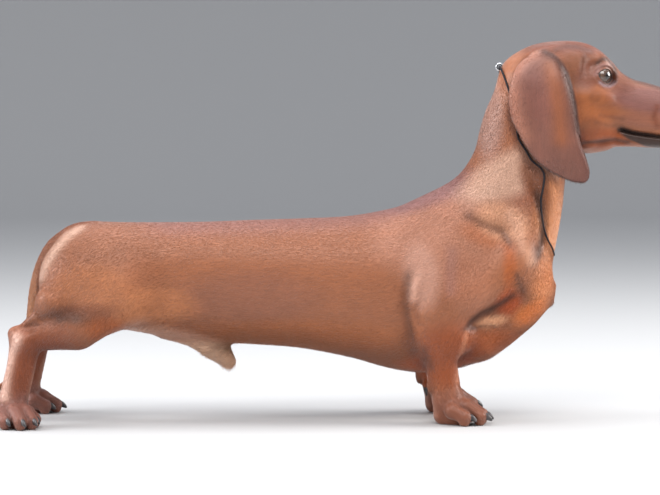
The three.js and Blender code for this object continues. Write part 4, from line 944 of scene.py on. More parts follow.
def stroked(base, strokes, p, amount):
    for colour, width, strength, points in strokes:
        w = strength * amount * np.exp(-((near_line(p[:, 0], p[:, 2], points) / width) ** 2))
        base += (srgb(*colour) - base) * w[:, None]
    return base


def coat_colour_and_light(p):
    """The coat's colour at points in millimetres, with painted highlights and painted shade."""
    side = mirror(p)
    ahead = mirror(straightened(p))
    colour = painted(np.tile(COAT, (len(p), 1)), BODY_COLOURS_AND_LIGHT, side)
    colour = stroked(colour, STROKES, side, ramp(8, 22, side[:, 1]))
    on_head = ramp(250, 268, p[:, 2]) * ramp(500, 540, p[:, 0])
    face = painted(colour.copy(), HEAD_COLOURS_AND_SHADE, ahead)
    face = stroked(face, HEAD_STROKES, ahead, ramp(4, 12, ahead[:, 1]))
    colour += (face - colour) * on_head[:, None]
    ear = ramp(3, 0.8, ear_ahead(straightened(p)))
    flap = stroked(np.tile(EAR_COLOUR, (len(p), 1)), EAR_STROKES, ahead, 1)
    colour += (flap - colour) * ear[:, None]
    return dark_edges(colour, ahead, on_head)


def dark_edges(colour, ahead, on_head):
    """The dark lips, the rims of the lids and the skin round the nose."""
    x, _, z = ahead.T
    mouth = near_line(x, z, MOUTH)
    below = ramp(1.2, -0.4, z - np.interp(x, *np.transpose(MOUTH)))
    above_lip = ramp(-1.5, 1, z - np.interp(x, *np.transpose(LOWER_LIP)))
    fray = 0.7 * np.sin(1.9 * x) + 0.5 * np.sin(3.1 * x + 2.3 * z)
    lip = np.maximum(below * above_lip * ramp(618, 626, x), ramp(3.6, 0.6, mouth + fray))
    lip = lip * ramp(705, 700, x)
    near_nose = ramp(2.2, 0.6, nose_form(ahead))
    out, u, v = eye_frame(ahead)
    off_eye = np.linalg.norm(ahead - EYE["centre"], axis=1)
    rim = ramp(1.5, 0.3, lens(u, v)) * ramp(0, LIDS_BEGIN, out) * ramp(24, 16, off_eye)
    for dark, amount in ((LIP_COLOUR, lip), (BLACK, near_nose), (LID_COLOUR, rim)):
        colour += (dark - colour) * (amount * on_head)[:, None]
    return colour


# The lie of the coat, from anchors (place, reach, direction) on one side. Those of the head turn with it.
LIE = [
    ((300, 0, 200), 120, (-1, 0, 0)),
    ((200, 50, 140), 90, (-1, 0, -0.25)),
    ((330, 60, 120), 90, (-1, 0, -0.2)),
    ((240, 0, 70), 80, (-1, 0, 0)),
    ((430, 55, 175), 50, (-0.7, 0, -0.8)),
    ((446, 52, 120), 36, (-0.45, 0, -1)),
    ((500, 40, 140), 40, (-0.8, 0, -0.7)),
    ((530, 0, 150), 40, (-0.1, 0, -1)),
    ((500, 0, 90), 40, (-1, 0, -0.5)),
    ((510, 40, 230), 50, (-0.45, 0, -1)),
    ((560, 0, 230), 40, (-0.1, 0, -1)),
    ((470, 0, 270), 50, (-0.7, 0, -1)),
    ((440, 48, 50), 40, (0, 0, -1)),
    ((455, 50, 10), 30, (0.9, 0, -0.6)),
    ((100, 50, 150), 60, (-0.75, 0, -0.8)),
    ((60, 40, 150), 40, (-0.4, 0, -1)),
    ((80, 55, 105), 36, (-0.7, 0, -0.7)),
    ((38, 57, 65), 40, (-0.1, 0, -1)),
    ((25, 60, 10), 30, (0.6, 0, -0.6)),
    ((40, 0, 110), 50, (-0.15, 0, -1)),
    ((150, 0, 84), 40, (1, 0, -0.3)),
]
HEAD_LIE = [
    ((680, 0, 310), 26, (-0.6, 0, 0.5)),
    ((650, 20, 305), 34, (-1, 0, -0.1)),
    ((620, 0, 350), 34, (-0.9, 0, 0.6)),
    ((590, 30, 310), 36, (-1, 0, -0.3)),
    ((560, 0, 378), 40, (-1, 0, 0)),
    ((640, 0, 275), 34, (-1, 0, -0.1)),
    ((550, 46, 300), 46, (0.1, 0, -1)),
    ((575, 46, 255), 34, (0.3, 0, -1)),
]


def lie_of_coat(p, normals):
    """Unit directions along the surface in which the hair points."""
    total = np.zeros_like(p)
    for anchors, at in ((LIE, mirror(p)), (HEAD_LIE, mirror(straightened(p)))):
        for place, reach, direction in anchors:
            away = np.linalg.norm(at - place, axis=1) / reach
            total += np.exp(-away * away)[:, None] * (np.array(direction) / np.linalg.norm(direction))
    total[:, 1] -= 1e-3
    total /= np.linalg.norm(total, axis=1)[:, None]
    total -= np.einsum("ij,ij->i", total, normals)[:, None] * normals
    return total / np.maximum(np.linalg.norm(total, axis=1), 1e-6)[:, None]


# Materials
def material(name, roughness, **settings):
    made = bpy.data.materials.new(name)
    made.use_nodes = True
    shader = made.node_tree.nodes["Principled BSDF"]
    shader.inputs["Roughness"].default_value = roughness
    for socket, value in settings.items():
        shader.inputs[socket.replace("_", " ")].default_value = value
    return made, made.node_tree, shader


def node(tree, kind, **settings):
    made = tree.nodes.new("ShaderNode" + kind)
    for name, value in settings.items():
        if hasattr(made, name):
            setattr(made, name, value)
        else:
            made.inputs[name.replace("_", " ")].default_value = value
    return made


def math_node(tree, operation, *values):
    made = node(tree, "Math", operation=operation)
    for socket, value in zip(made.inputs, values):
        if isinstance(value, (int, float)):
            socket.default_value = value
        else:
            tree.links.new(value, socket)
    return made.outputs[0]


def texture(tree, kind, **settings):
    """A texture that keeps to the piece's own coordinates."""
    made = node(tree, kind, **settings)
    tree.links.new(node(tree, "TexCoord").outputs["Object"], made.inputs["Vector"])
    return made


def stored(tree, name, output="Vector"):
    return node(tree, "Attribute", attribute_name=name).outputs[output]


def tinted(tree, shader, amount=None):
    """The colour comes from the stored tint, times an amount."""
    colour = stored(tree, "tint")
    if amount is not None:
        scaled = node(tree, "VectorMath", operation="SCALE")
        tree.links.new(colour, scaled.inputs[0])
        tree.links.new(amount, scaled.inputs["Scale"])
        colour = scaled.outputs[0]
    tree.links.new(colour, shader.inputs["Base Color"])


def shaded(tree, shader, amount, first, last, start=0, end=1):
    """The colour goes from the first to the last with an amount."""
    shades = node(tree, "ValToRGB")
    for stop, colour, position in zip(shades.color_ramp.elements, (first, last), (start, end)):
        stop.color = (*srgb(*colour), 1)
        stop.position = position
    tree.links.new(amount, shades.inputs[0])
    tree.links.new(shades.outputs[0], shader.inputs["Base Color"])


def bumped(tree, shader, height, depth, **settings):
    bump = node(tree, "Bump", Strength=0.5, Distance=depth * MM, **settings)
    tree.links.new(height, bump.inputs["Height"])
    tree.links.new(bump.outputs[0], shader.inputs["Normal"])


SHEEN = 0.26
SHEEN_TINT = (1, 0.93, 0.92, 1)
STREAKS = 6  # directions in which the hair's pattern is drawn, spread over half a turn in the side view
STREAK = (60, 620, 620)  # cells a metre along and across the hair
STREAK_FOCUS = 14  # how much more the nearest direction counts
HAIR_DEPTH = 0.5
HAIR_SHADE = 0.84  # the coat's shade where the pattern of hairs is at its middle
HAIR_STRENGTH = {"body": 0.7, "ears": 0.4, "face": 0.7}  # the last is how far the face is like the ears
PATCH_SHADE = (0.42, 0.79)  # how the shade follows the wide soft patches: slope and start
HAIR_ROUGHNESS = (-0.3, 0.6)  # the same for the roughness and the hairs
TUFT_SPECKLE = (0.16, 0.92)


def streak_weights(lie):
    """How much each of the pattern's directions counts where the hair lies so."""
    angles = np.pi * np.arange(STREAKS) / STREAKS
    axes = np.stack([np.cos(angles), np.zeros(STREAKS), np.sin(angles)], 1)
    w = np.abs(lie @ axes.T) ** STREAK_FOCUS + 1e-5
    return w / w.sum(1)[:, None]


def hair_pattern(tree):
    """A value that runs in fine streaks along the lie of the coat."""
    place = node(tree, "TexCoord").outputs["Object"]
    total = None
    for half in range(2):
        parts = node(tree, "SeparateXYZ")
        tree.links.new(stored(tree, f"lie_{half}"), parts.inputs[0])
        for n in range(3):
            angle = math.pi * (3 * half + n) / STREAKS
            aim = node(tree, "Mapping", vector_type="POINT")
            aim.inputs["Rotation"].default_value = (0, angle, 0)
            stretch = node(tree, "VectorMath", operation="MULTIPLY")
            stretch.inputs[1].default_value = STREAK
            hairs = node(tree, "TexNoise", Scale=1, Detail=2, Roughness=0.6)
            tree.links.new(place, aim.inputs["Vector"])
            tree.links.new(aim.outputs[0], stretch.inputs[0])
            tree.links.new(stretch.outputs[0], hairs.inputs["Vector"])
            part = math_node(tree, "MULTIPLY", hairs.outputs["Fac"], parts.outputs[n])
            total = part if total is None else math_node(tree, "ADD", total, part)
    return total


def coat_material():
    made, tree, shader = material(
        "short_coat", 0.45, Specular_IOR_Level=0.42, Sheen_Weight=SHEEN, Sheen_Roughness=0.35
    )
    shader.inputs["Sheen Tint"].default_value = SHEEN_TINT
    hairs = hair_pattern(tree)
    mottle = texture(tree, "TexNoise", Scale=55, Detail=3, Roughness=0.55)
    around_middle = math_node(tree, "SUBTRACT", hairs, 0.5)
    shade = math_node(tree, "MULTIPLY_ADD", around_middle, stored(tree, "hair", "Fac"), HAIR_SHADE)
    patches = math_node(tree, "MULTIPLY_ADD", mottle.outputs["Fac"], *PATCH_SHADE)
    tinted(tree, shader, math_node(tree, "MULTIPLY", shade, patches))
    rough = math_node(tree, "MULTIPLY_ADD", hairs, *HAIR_ROUGHNESS)
    tree.links.new(rough, shader.inputs["Roughness"])
    bumped(tree, shader, hairs, HAIR_DEPTH)
    return made


def give(mesh, name, values):
    """Stores a number or a vector for each vertex."""
    kind, field = ("FLOAT", "value") if np.ndim(values) == 1 else ("FLOAT_VECTOR", "vector")
    made = mesh.attributes.new(name, kind, "POINT")
    made.data.foreach_set(field, np.asarray(values, np.float32).ravel())


def dress(piece, slot, wears, *nodes):
    piece.data.materials.append(wears)
    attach(piece, "root")
    if nodes:
        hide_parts(*nodes)


# Painted shade in folds and creases, where little light gets in
HOLLOW_REACH = (4, 10)  # how far off the skin a fold is felt
HOLLOW_SHARES = (0.97, 0.45)  # of the open way there, between which painted shade darkens a fold
HOLLOW_DARK = np.array([0.42, 0.5, 0.55])  # how much of the colour painted shade takes from a deep fold


def skin_tint(p, normals):
    """The coat's colour, with painted shade in the folds."""
    open_way = sum(skin_field(p + normals * reach) / reach for reach in HOLLOW_REACH) / len(HOLLOW_REACH)
    return coat_colour_and_light(p) * (1 - HOLLOW_DARK * ramp(*HOLLOW_SHARES, open_way)[:, None])


def hair_strength(p):
    """How strongly the pattern of hairs shows: least on the ears and face."""
    ahead = straightened(p)
    face = ramp(540, 580, ahead[:, 0]) * ramp(250, 262, p[:, 2])
    ear = ramp(3, 1, ear_ahead(ahead))
    bare = np.maximum(face * HAIR_STRENGTH["face"], ear)
    return mix(HAIR_STRENGTH["body"], HAIR_STRENGTH["ears"], bare)


# Skin
FLESH = ["torso", "neck", "head", "tail_upper", "tail_lower", "ear_right", "ear_left"]
FLESH += [leg["name"] for leg in LEGS] + [leg["name"].replace("leg", "paw") for leg in LEGS]
GRID = [
    graded(-24, 712, 2.8, [(506, 706, 1.0), (412, 500, 1.6), (-20, 70, 1.6)]),
    graded(-106, 94, 1.8, [(-64, -30, 0.9), (26, 60, 1.0)]),
    graded(-3, 388, 2.4, [(232, 386, 1.0), (-1, 42, 1.2)]),
]
skin_points, skin_quads = surface_net(skin_field, GRID)
skin = mesh_of("skin", skin_points, skin_quads)
normals = np.empty(len(skin.data.vertices) * 3, np.float32)
skin.data.vertices.foreach_get("normal", normals)
skin_normals = normals.reshape(-1, 3).astype(float)
skin_lie = streak_weights(lie_of_coat(skin_points, skin_normals))
give(skin.data, "tint", skin_tint(skin_points, skin_normals))
give(skin.data, "lie_0", skin_lie[:, :3])
give(skin.data, "lie_1", skin_lie[:, 3:])
give(skin.data, "hair", hair_strength(skin_points))
dress(skin, "coat", coat_material(), *FLESH)


# Eyes, nose, claws, collar and its ring
def lofted(rings, closed=False):
    """Points and faces of a tube through rings of points. An open tube gets a fan at each end."""
    count, sides = rings.shape[:2]
    points = rings.reshape(-1, 3)
    i, n = np.meshgrid(np.arange(count if closed else count - 1), np.arange(sides), indexing="ij")
    after, beside = (i + 1) % count, (n + 1) % sides
    quads = np.stack([i * sides + n, i * sides + beside, after * sides + beside, after * sides + n], -1)
    faces = [quads.reshape(-1, 4)]
    if not closed:
        ends = points.reshape(count, sides, 3)[[0, -1]].mean(1)
        first, last = len(points), len(points) + 1
        around, onward = np.arange(sides), (np.arange(sides) + 1) % sides
        faces.append(np.stack([np.full(sides, first), onward, around], 1))
        top = (count - 1) * sides
        faces.append(np.stack([np.full(sides, last), top + around, top + onward], 1))
        points = np.concatenate([points, ends])
    return points, faces


def all_of(parts):
    """Several (points, faces) as one."""
    points, groups, start = [], {}, 0
    for some, faces in parts:
        for group in faces:
            groups.setdefault(group.shape[1], []).append(group + start)
        points.append(some)
        start += len(some)
    return np.concatenate(points), [np.concatenate(group) for group in groups.values()]


def unit(v):
    return v / np.linalg.norm(v, axis=-1, keepdims=True)


def circle(sides, across, up):
    """Points round a circle, from its two half axes."""
    a = 2 * np.pi * np.arange(sides)[:, None] / sides
    return np.cos(a) * across + np.sin(a) * up


def outward(points, faces):
    """A closed shape's faces, turned over if they enclose a negative volume."""
    volume = 0
    for group in faces:
        for i in range(1, group.shape[1] - 1):
            a, b, c = points[group[:, 0]], points[group[:, i]], points[group[:, i + 1]]
            volume += np.einsum("ij,ij->", a, np.cross(b, c))
    return [group[:, ::-1] for group in faces] if volume < 0 else faces


IRIS, PUPIL, LIMBUS = 52, 20, 6  # degrees round the gaze, and the width of the dark edge
CORNEA, CORNEA_EDGE = 0.9, 56  # how far the cornea stands out of the ball, and where it begins
IRIS_COLOUR, IRIS_INNER = srgb(98, 74, 58), srgb(68, 48, 36)
EYE_WHITE = srgb(124, 104, 98)
EYE_STEPS, EYE_SIDES = 60, 72
SPOKES = 0.12  # how unlike the iris's rays are
EDGE_DARK = 0.9


def eyeball(side, seed):
    g = math.radians(EYE["gaze"])
    centre = np.array(EYE["centre"]) * [1, side, 1]
    ahead = np.array([math.cos(g), side * math.sin(g), 0])
    across = np.array([-ahead[1], ahead[0], 0])
    tilt = np.linspace(0, np.pi, EYE_STEPS)[1:-1]
    radius = (EYE["radius"] + CORNEA * ramp(CORNEA_EDGE, 0, np.degrees(tilt)))[:, None, None]
    polar = tilt[:, None, None]
    rings = centre + radius * (np.cos(polar) * ahead + np.sin(polar) * circle(EYE_SIDES, across, [0, 0, 1]))
    points, faces = lofted(rings)
    degrees = np.append(np.repeat(np.degrees(tilt), EYE_SIDES), [0, 180])
    spokes = np.append(np.tile(np.random.default_rng(seed).normal(0, 1, EYE_SIDES), len(tilt)), [0, 0])
    tint = IRIS_COLOUR + (IRIS_INNER - IRIS_COLOUR) * ramp(IRIS - 6, PUPIL, degrees)[:, None]
    tint *= (1 + SPOKES * spokes)[:, None]
    tint += (EYE_WHITE - tint) * ramp(IRIS - 1, IRIS + 2, degrees)[:, None]
    edge = ramp(LIMBUS, 0, np.abs(degrees - IRIS)) + ramp(PUPIL + 1, PUPIL - 1, degrees)
    tint *= 1 - EDGE_DARK * clamp01(edge)[:, None]
    return turned(points), faces, tint


eye_material, tree, shader = material(
    "wet_eye", 0.12, Specular_IOR_Level=0.6, Coat_Weight=1, Coat_Roughness=0.02
)
tinted(tree, shader)
for side_name, side in (("right", -1), ("left", 1)):
    points, faces, tint = eyeball(side, 5 + side)
    eye = mesh_of(f"eyeball_{side_name}", points, outward(points, faces))
    give(eye.data, "tint", tint)
    dress(eye, "eye", eye_material, f"eye_{side_name}")

NOSE_MARGIN = 0.8  # how far the bare skin reaches past the nose's own form
NOSE_ROUNDING = 0.8
NOSE_ROOM, NOSE_STEP = 3, 0.55
nose_pad = egg(NOSE["centre"], [r + NOSE_MARGIN for r in NOSE["radii"]], NOSE["pitch"])


def nose_field(p):
    return smooth_max(body(p), nose_pad(straightened(p)), NOSE_ROUNDING)


nose_low, nose_high = [np.array(corner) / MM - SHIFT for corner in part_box("nose")]
nose_grid = [
    np.arange(low, high, NOSE_STEP) for low, high in zip(nose_low - NOSE_ROOM, nose_high + NOSE_ROOM)
]
nose = mesh_of("nose_pad", *surface_net(nose_field, nose_grid))
nose_material, tree, shader = material("nose_skin", 0.34, Specular_IOR_Level=0.5)
pebbles = texture(tree, "TexVoronoi", Scale=900).outputs["Distance"]
shaded(tree, shader, math_node(tree, "MULTIPLY", pebbles, 1.6), (38, 33, 34), (16, 14, 15))
bumped(tree, shader, pebbles, 0.35, invert=True)
dress(nose, "nose", nose_material, "nose")

CLAW = {"length": 7.5, "radius": 3.2, "sunk": 4, "sides": 14, "steps": 12}
CLAW_DROP, CLAW_BEND = 0.3, 0.6  # how far the point comes down, and how steeply
CLAW_TAPER = 0.72
CLAW_BLUNT, CLAW_END = 0.9, 0.12  # where along it the blunt end begins, and its length
CLAW_WIDE, CLAW_HIGH = 0.86, 1.06
ON_TOE = [(5, 9.5), (6, 9.15)]  # (forward, height) of the root and of a place further along
DEWCLAW = {"root": (-7, -12, -19), "heading": (0.25, -0.2, -0.9), "length": 7, "radius": 2}


def claw(root, heading, length, radius):
    rings = []
    across = unit(np.array([-heading[1], heading[0], 0]))
    for t in np.concatenate([[-CLAW["sunk"] / length], np.linspace(0.02, 1, CLAW["steps"])]):
        bent = max(t, 0)
        at = root + heading * t * length - [0, 0, CLAW_DROP * bent * bent * length]
        up = np.cross(unit(heading - [0, 0, CLAW_BEND * bent]), across)
        r = radius * (1 - CLAW_TAPER * bent**2)
        if bent >= CLAW_BLUNT:
            r *= math.sqrt(max(1 - ((bent - CLAW_BLUNT) / CLAW_END) ** 2, 0.05))
        rings.append(at + r * circle(CLAW["sides"], CLAW_WIDE * across, CLAW_HIGH * up))
    points, faces = lofted(np.array(rings))
    return points, outward(points, faces)


def claws_of(leg):
    size, place = SIZE[leg["kind"]], on_paw(leg)
    flip = np.array([1, leg["side"], 1])
    for toe in TOES:
        forward, sideways = toe["tip"]
        root, beyond = [np.array(place([forward + step, sideways], height)) for step, height in ON_TOE]
        heading = unit(beyond - root)
        yield claw(root * flip, heading * flip, CLAW["length"] * size, CLAW["radius"] * size)
    if leg["kind"] == "fore":
        root = np.array(plus(leg["wrist"], *DEWCLAW["root"]), float)
        heading = unit(np.array(DEWCLAW["heading"]))
        yield claw(root * flip, heading * flip, DEWCLAW["length"], DEWCLAW["radius"])


claws = mesh_of("claws", *all_of([made for leg in LEGS for made in claws_of(leg)]))
claw_material, tree, shader = material("horn", 0.32, Specular_IOR_Level=0.5, Coat_Weight=0.2)
grain = texture(tree, "TexNoise", Scale=260, Detail=3).outputs["Fac"]
shaded(tree, shader, grain, (34, 31, 33), (92, 84, 84), 0.4, 0.75)
dress(claws, "claw", claw_material, *[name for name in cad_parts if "claw" in name])

COLLAR = {"nape": (498, 357), "throat": (552, 172), "radius": 1.1, "clear": -1.85}  # half sunk in the coat
RING_LIFT, RING_SPREAD = 2.6, 0.22  # the cord stands off the nape under its ring
COLLAR_SWAY = [(9, 1.08, 0.25), (-6, 0.5, 0.25), (-5, 2.1, 0.35)]  # (forward, angle from the throat, width)
COLLAR_SEARCH = (10.0, 130.0)  # the neck's surface lies between these distances from its axis
COLLAR_STEPS = 540
CORD = {"strands": 3, "turns": 90, "sides": 7, "pressed": 1.12}  # its strands are pressed into one another


def collar_path(steps):
    """The loop round the neck, found where the solids' surface is."""
    nape, throat = [np.array([COLLAR[end][0], 0, COLLAR[end][1]], float) for end in ("nape", "throat")]
    down = unit(throat - nape)
    a = 2 * np.pi * np.arange(steps) / steps
    out = circle(steps, down, [0, 1, 0])
    from_throat = np.arccos(np.cos(a))[:, None]
    sway = sum(size * np.exp(-(((from_throat - at) / width) ** 2)) for size, at, width in COLLAR_SWAY)
    middle = (nape + throat) / 2 + sway * [-down[2], 0, down[0]]
    near, far = [np.full(steps, reach) for reach in COLLAR_SEARCH]
    while (far - near).max() > 0.02:
        half = (near + far) / 2
        low = body(middle + half[:, None] * out) < COLLAR["radius"] + COLLAR["clear"]
        near, far = np.where(low, half, near), np.where(low, far, half)
    lift = RING_LIFT * np.exp(-(((a - np.pi) / RING_SPREAD) ** 2))
    return middle + out * (near + lift)[:, None]


def twisted(path, radius):
    """Strands wound round a closed path, like a cord's plies."""
    along = unit(np.roll(path, -1, 0) - np.roll(path, 1, 0))
    side = unit(np.cross(along, [0.01, 0.02, 1]))
    for i in range(1, len(side)):
        side[i] = side[i - 1] - np.dot(side[i - 1], along[i]) * along[i]
        side[i] /= np.linalg.norm(side[i])
    up = np.cross(along, side)
    off = side[-1] - np.dot(side[-1], along[0]) * along[0]
    slip = math.atan2(np.dot(off, up[0]), np.dot(off, side[0]))
    a = (2 * np.pi * CORD["turns"] - slip) * np.arange(len(path)) / len(path)
    ply = radius / (1 + 1 / math.sin(math.pi / CORD["strands"]))
    made = []
    for n in range(CORD["strands"]):
        b = (a + 2 * np.pi * n / CORD["strands"])[:, None]
        centre = path + (radius - ply) * (np.cos(b) * side + np.sin(b) * up)
        wide = ply * CORD["pressed"]
        rings = centre[:, None] + wide * circle(CORD["sides"], side[:, None], up[:, None])
        points, faces = lofted(rings, closed=True)
        made.append((points, outward(points, faces)))
    return all_of(made)


loop = collar_path(COLLAR_STEPS)
cord = mesh_of("neck_cord", *twisted(loop, COLLAR["radius"]))
cord_material, tree, shader = material("cord", 0.7, Specular_IOR_Level=0.25)
weave = texture(tree, "TexNoise", Scale=700, Detail=2).outputs["Fac"]
shaded(tree, shader, weave, (22, 21, 24), (48, 46, 52))
dress(cord, "collar_cord", cord_material, "collar")

RING = {"radius": 3.1, "wire": 1.1, "steps": 48, "sides": 14}
ring_out = circle(RING["steps"], [1, 0, 0], [0, 0, 1])[:, None]
wire = RING["wire"] * circle(RING["sides"], ring_out, [0, 1, 0])
points, faces = lofted(loop[COLLAR_STEPS // 2] + RING["radius"] * ring_out + wire, closed=True)
ring = mesh_of("cord_ring", points, outward(points, faces))
ring_material, tree, shader = material("polished_wire", 0.18, Metallic=1)
scratches = texture(tree, "TexNoise", Scale=900, Detail=3).outputs["Fac"]
tree.links.new(math_node(tree, "MULTIPLY_ADD", scratches, 0.2, 0.1), shader.inputs["Roughness"])
shader.inputs["Base Color"].default_value = (0.7, 0.71, 0.73, 1)
dress(ring, "collar_metal", ring_material, "collar_ring")


# The unwrap of the skin's own shape, on which the tufts have their patches too
CHARTS = [  # (name, axis start, axis end, reach round it, left edge, low edge), laid out in metres
    ("torso", (50, 0, 150), (552, 0, 140), 66, 0.02, 0.02),
    ("neck", (470, 0, 190), (540, 0, 345), 46, 0.56, 0.02),
    ("head", (500, 0, 320), (702, 0, 305), 36, 0.02, 0.46),
    ("fore", (440, 46, 120), (446, 48, 0), 22, 0.25, 0.46),
    ("hind", (85, 50, 150), (28, 58, 0), 26, 0.56, 0.46),
    ("tail", (80, 0, 182), (0, 0, 34), 9, 0.80, 0.02),
    ("ear", (550, 45, 372), (575, 45, 230), 40, 0.02, 0.72),
]
CHART_SCALE = 1.05  # metres of skin across the whole map
MAP_EDGE = 0.002
LEFT_STEP = {"fore": 0.15, "hind": 0.19, "ear": 0.16}  # step to the left side's chart


def chart_of(p):
    """The chart that each point belongs to. Where two fit, the later one counts."""
    ahead, side = straightened(p), mirror(p)
    x, _, z = p.T
    outer = side[:, 1] > 24
    places = {
        "neck": (z > 215) & (x > 440),
        "head": (ahead[:, 0] > 530) & (z > 262),
        "fore": (z < 100) & outer & (x > 395) & (x < 500),
        "hind": (z < 130) & outer & (x < 130),
        "tail": tail(p) < 3,
        "ear": ear_ahead(ahead) < 2,
    }
    chart = np.zeros(len(p), int)
    for name, here in places.items():
        chart[here] = [row[0] for row in CHARTS].index(name)
    return chart


def unwrapped(p, middle):
    """Places on the unwrap. A point lies on the chart of its face's middle, on that one's side of the cut."""
    uv = np.zeros((len(p), 2))
    chart = chart_of(middle)
    for n, (name, start, end, reach, left, low) in enumerate(CHARTS):
        mine = chart == n
        if not mine.any():
            continue
        axis = unit(np.subtract(end, start).astype(float))
        across = unit(np.cross(axis, [0, 1, 0]))
        out = np.cross(axis, across)
        on_left = (middle[mine, 1] > 0) & (name in LEFT_STEP)
        if name in LEFT_STEP:
            flip = np.column_stack([np.ones(mine.sum()), np.where(on_left, 1, -1), np.ones(mine.sum())])
        else:
            flip = 1
        here, around = p[mine] * flip, middle[mine] * flip
        place = here - start
        if name == "ear":
            inner = around[:, 1] < ear_level(around[:, 2], 1)
            angle = place @ across / reach + 2 * inner
        else:
            angle, wanted = [np.arctan2(q @ out, -q @ across) for q in (place, around - start)]
            angle += 2 * np.pi * np.round((wanted - angle) / (2 * np.pi))
        uv[mine, 0] = left + place @ axis * MM / CHART_SCALE + LEFT_STEP.get(name, 0) * on_left
        uv[mine, 1] = low + (angle + np.pi) * reach * MM / CHART_SCALE
    return np.clip(uv, MAP_EDGE, 1 - MAP_EDGE)


def give_map(mesh, corner_places):
    mesh.uv_layers.new(name="OFBake").data.foreach_set("uv", corner_places.astype(np.float32).ravel())


skin_corners = skin_points[skin_quads]
skin_middles = skin_corners.mean(1)
give_map(skin.data, unwrapped(skin_corners.reshape(-1, 3), np.repeat(skin_middles, 4, axis=0)))

# The coat's tufts, in pieces over the whole body
PATCH = 0.003  # the share of the map's width that a tuft takes
BLADE = 0.11  # a tuft's thickness over its width
BELLY_OF_TUFT = 0.35  # where along it a tuft is widest
BELLY_LIFT = 1.25  # how much higher than a straight tuft's it lies there
SUNK = 0.45
MOST_BEND = 1.2
STRAY = 0.09  # of a tuft's direction from the coat's lie
LENGTHS, WIDTHS, LIFTS, SHADES = (0.65, 1.2), (0.75, 1.25), (0.5, 1.5), (0.92, 1.08)
OVER_FLOOR = 0.15
TUFT_SHADE = 0.95  # the skin's pattern of hairs is as dark as this on the whole
SHADE_ALONG = np.array([0.94, 1, 1, 1, 1.04])  # at its root, its sides, its back and its tip
TUFT_FACES = [[0, 1, 3], [0, 3, 2], [0, 2, 1], [3, 1, 4], [2, 3, 4], [1, 2, 4]]
TUFT_PATCH = np.array([[0, -1], [-1, -0.3], [1, -0.3], [0, 0], [0, 1]]) / 2


def roots(random, weight, count):
    """Places and normals spread over the skin, as dense as the weight of its faces."""
    diagonals = skin_corners[:, 2] - skin_corners[:, 0], skin_corners[:, 3] - skin_corners[:, 1]
    share = np.cumsum(np.linalg.norm(np.cross(*diagonals), axis=1) * weight)
    face = np.searchsorted(share, (np.arange(count) + random.random(count)) / count * share[-1])
    u, v = random.random((2, count))
    blend = np.stack([(1 - u) * (1 - v), u * (1 - v), u * v, (1 - u) * v], 1)
    quads = skin_quads[np.minimum(face, len(skin_quads) - 1)]
    place = np.einsum("ij,ijk->ik", blend, skin_points[quads])
    return place, unit(np.einsum("ij,ijk->ik", blend, skin_normals[quads]))


def off_skin(p):
    """How far points are off the skin, in a column. A tuft bends by no more than its limit to follow it."""
    return np.clip(skin_field(p), -MOST_BEND, MOST_BEND)[:, None]


def tuft_mesh(name, random, root, normal, length, width, lift, droop):
    """Thin spindles with one end sunk in the skin, overlapping along the lie."""
    count = len(root)
    lie = lie_of_coat(root, normal)
    along = unit(lie + random.normal(0, STRAY, count)[:, None] * np.cross(normal, lie))
    across = unit(np.cross(normal, along))
    length, width, lift = [
        (size * random.uniform(*shares, count))[:, None]
        for size, shares in ((length, LENGTHS), (width, WIDTHS), (lift, LIFTS))
    ]
    middle, tip = root + along * length * BELLY_OF_TUFT, root + along * length
    middle += normal * (lift * length * BELLY_OF_TUFT * BELLY_LIFT - off_skin(middle))
    tip += normal * (lift * length - off_skin(tip)) - [0, 0, droop] * length
    points = [root - normal * SUNK, middle - across * width / 2, middle + across * width / 2]
    points = np.stack(points + [middle + normal * width * BLADE, tip], 1)
    points[..., 2] = np.maximum(points[..., 2], OVER_FLOOR)
    faces = (5 * np.arange(count)[:, None, None] + TUFT_FACES).reshape(-1, 3)
    tufts = mesh_of(name, points.reshape(-1, 3), faces)
    shade = TUFT_SHADE * random.uniform(*SHADES, count)[:, None, None]
    tint = skin_tint(root, normal)[:, None] * shade * SHADE_ALONG[:, None]
    give(tufts.data, "tint", tint.reshape(-1, 3))
    places = unwrapped(root, root)[:, None] + TUFT_PATCH * PATCH
    give_map(tufts.data, places.reshape(-1, 2)[faces.ravel()])
    return tufts


tuft_material, tree, shader = material(
    "coat_tufts", 0.56, Specular_IOR_Level=0.3, Sheen_Weight=SHEEN, Sheen_Roughness=0.35
)
shader.inputs["Sheen Tint"].default_value = SHEEN_TINT
speckle = texture(tree, "TexNoise", Scale=300, Detail=2).outputs["Fac"]
tinted(tree, shader, math_node(tree, "MULTIPLY_ADD", speckle, *TUFT_SPECKLE))


def grown(centre, radii):
    """Where a piece of coat grows: in a soft egg on both sides."""
    return lambda p, n: inside_egg(mirror(p), np.array(centre, float), radii, 0)


def off_head(p):
    return 1 - ramp(250, 268, p[:, 2]) * ramp(500, 530, p[:, 0])


def on_ear(p):
    ahead = straightened(p)
    return ramp(3, 1, ear_ahead(ahead)), ear_edge(ahead[:, 0], ahead[:, 2])


def back_growth(p, n):
    return ramp(0.1, 0.6, n[:, 2]) * ramp(150, 170, p[:, 2]) * ramp(480, 450, p[:, 0])


def belly_growth(p, n):
    return ramp(0, -0.7, n[:, 2]) * grown((270, 0, 70), (230, 70, 40))(p, n)


def sheath_growth(p, n):
    return ramp(24, 6, np.linalg.norm(p - [226, 0, 60], axis=1))


def low_leg(start, end):
    """Where the coat of the lower legs grows: from start to end along the dog."""
    return lambda p, n: (
        ramp(100, 80, p[:, 2]) * ramp(26, 32, np.abs(p[:, 1])) * ramp(24, 34, p[:, 2])
        * ramp(start, end, p[:, 0])
    )


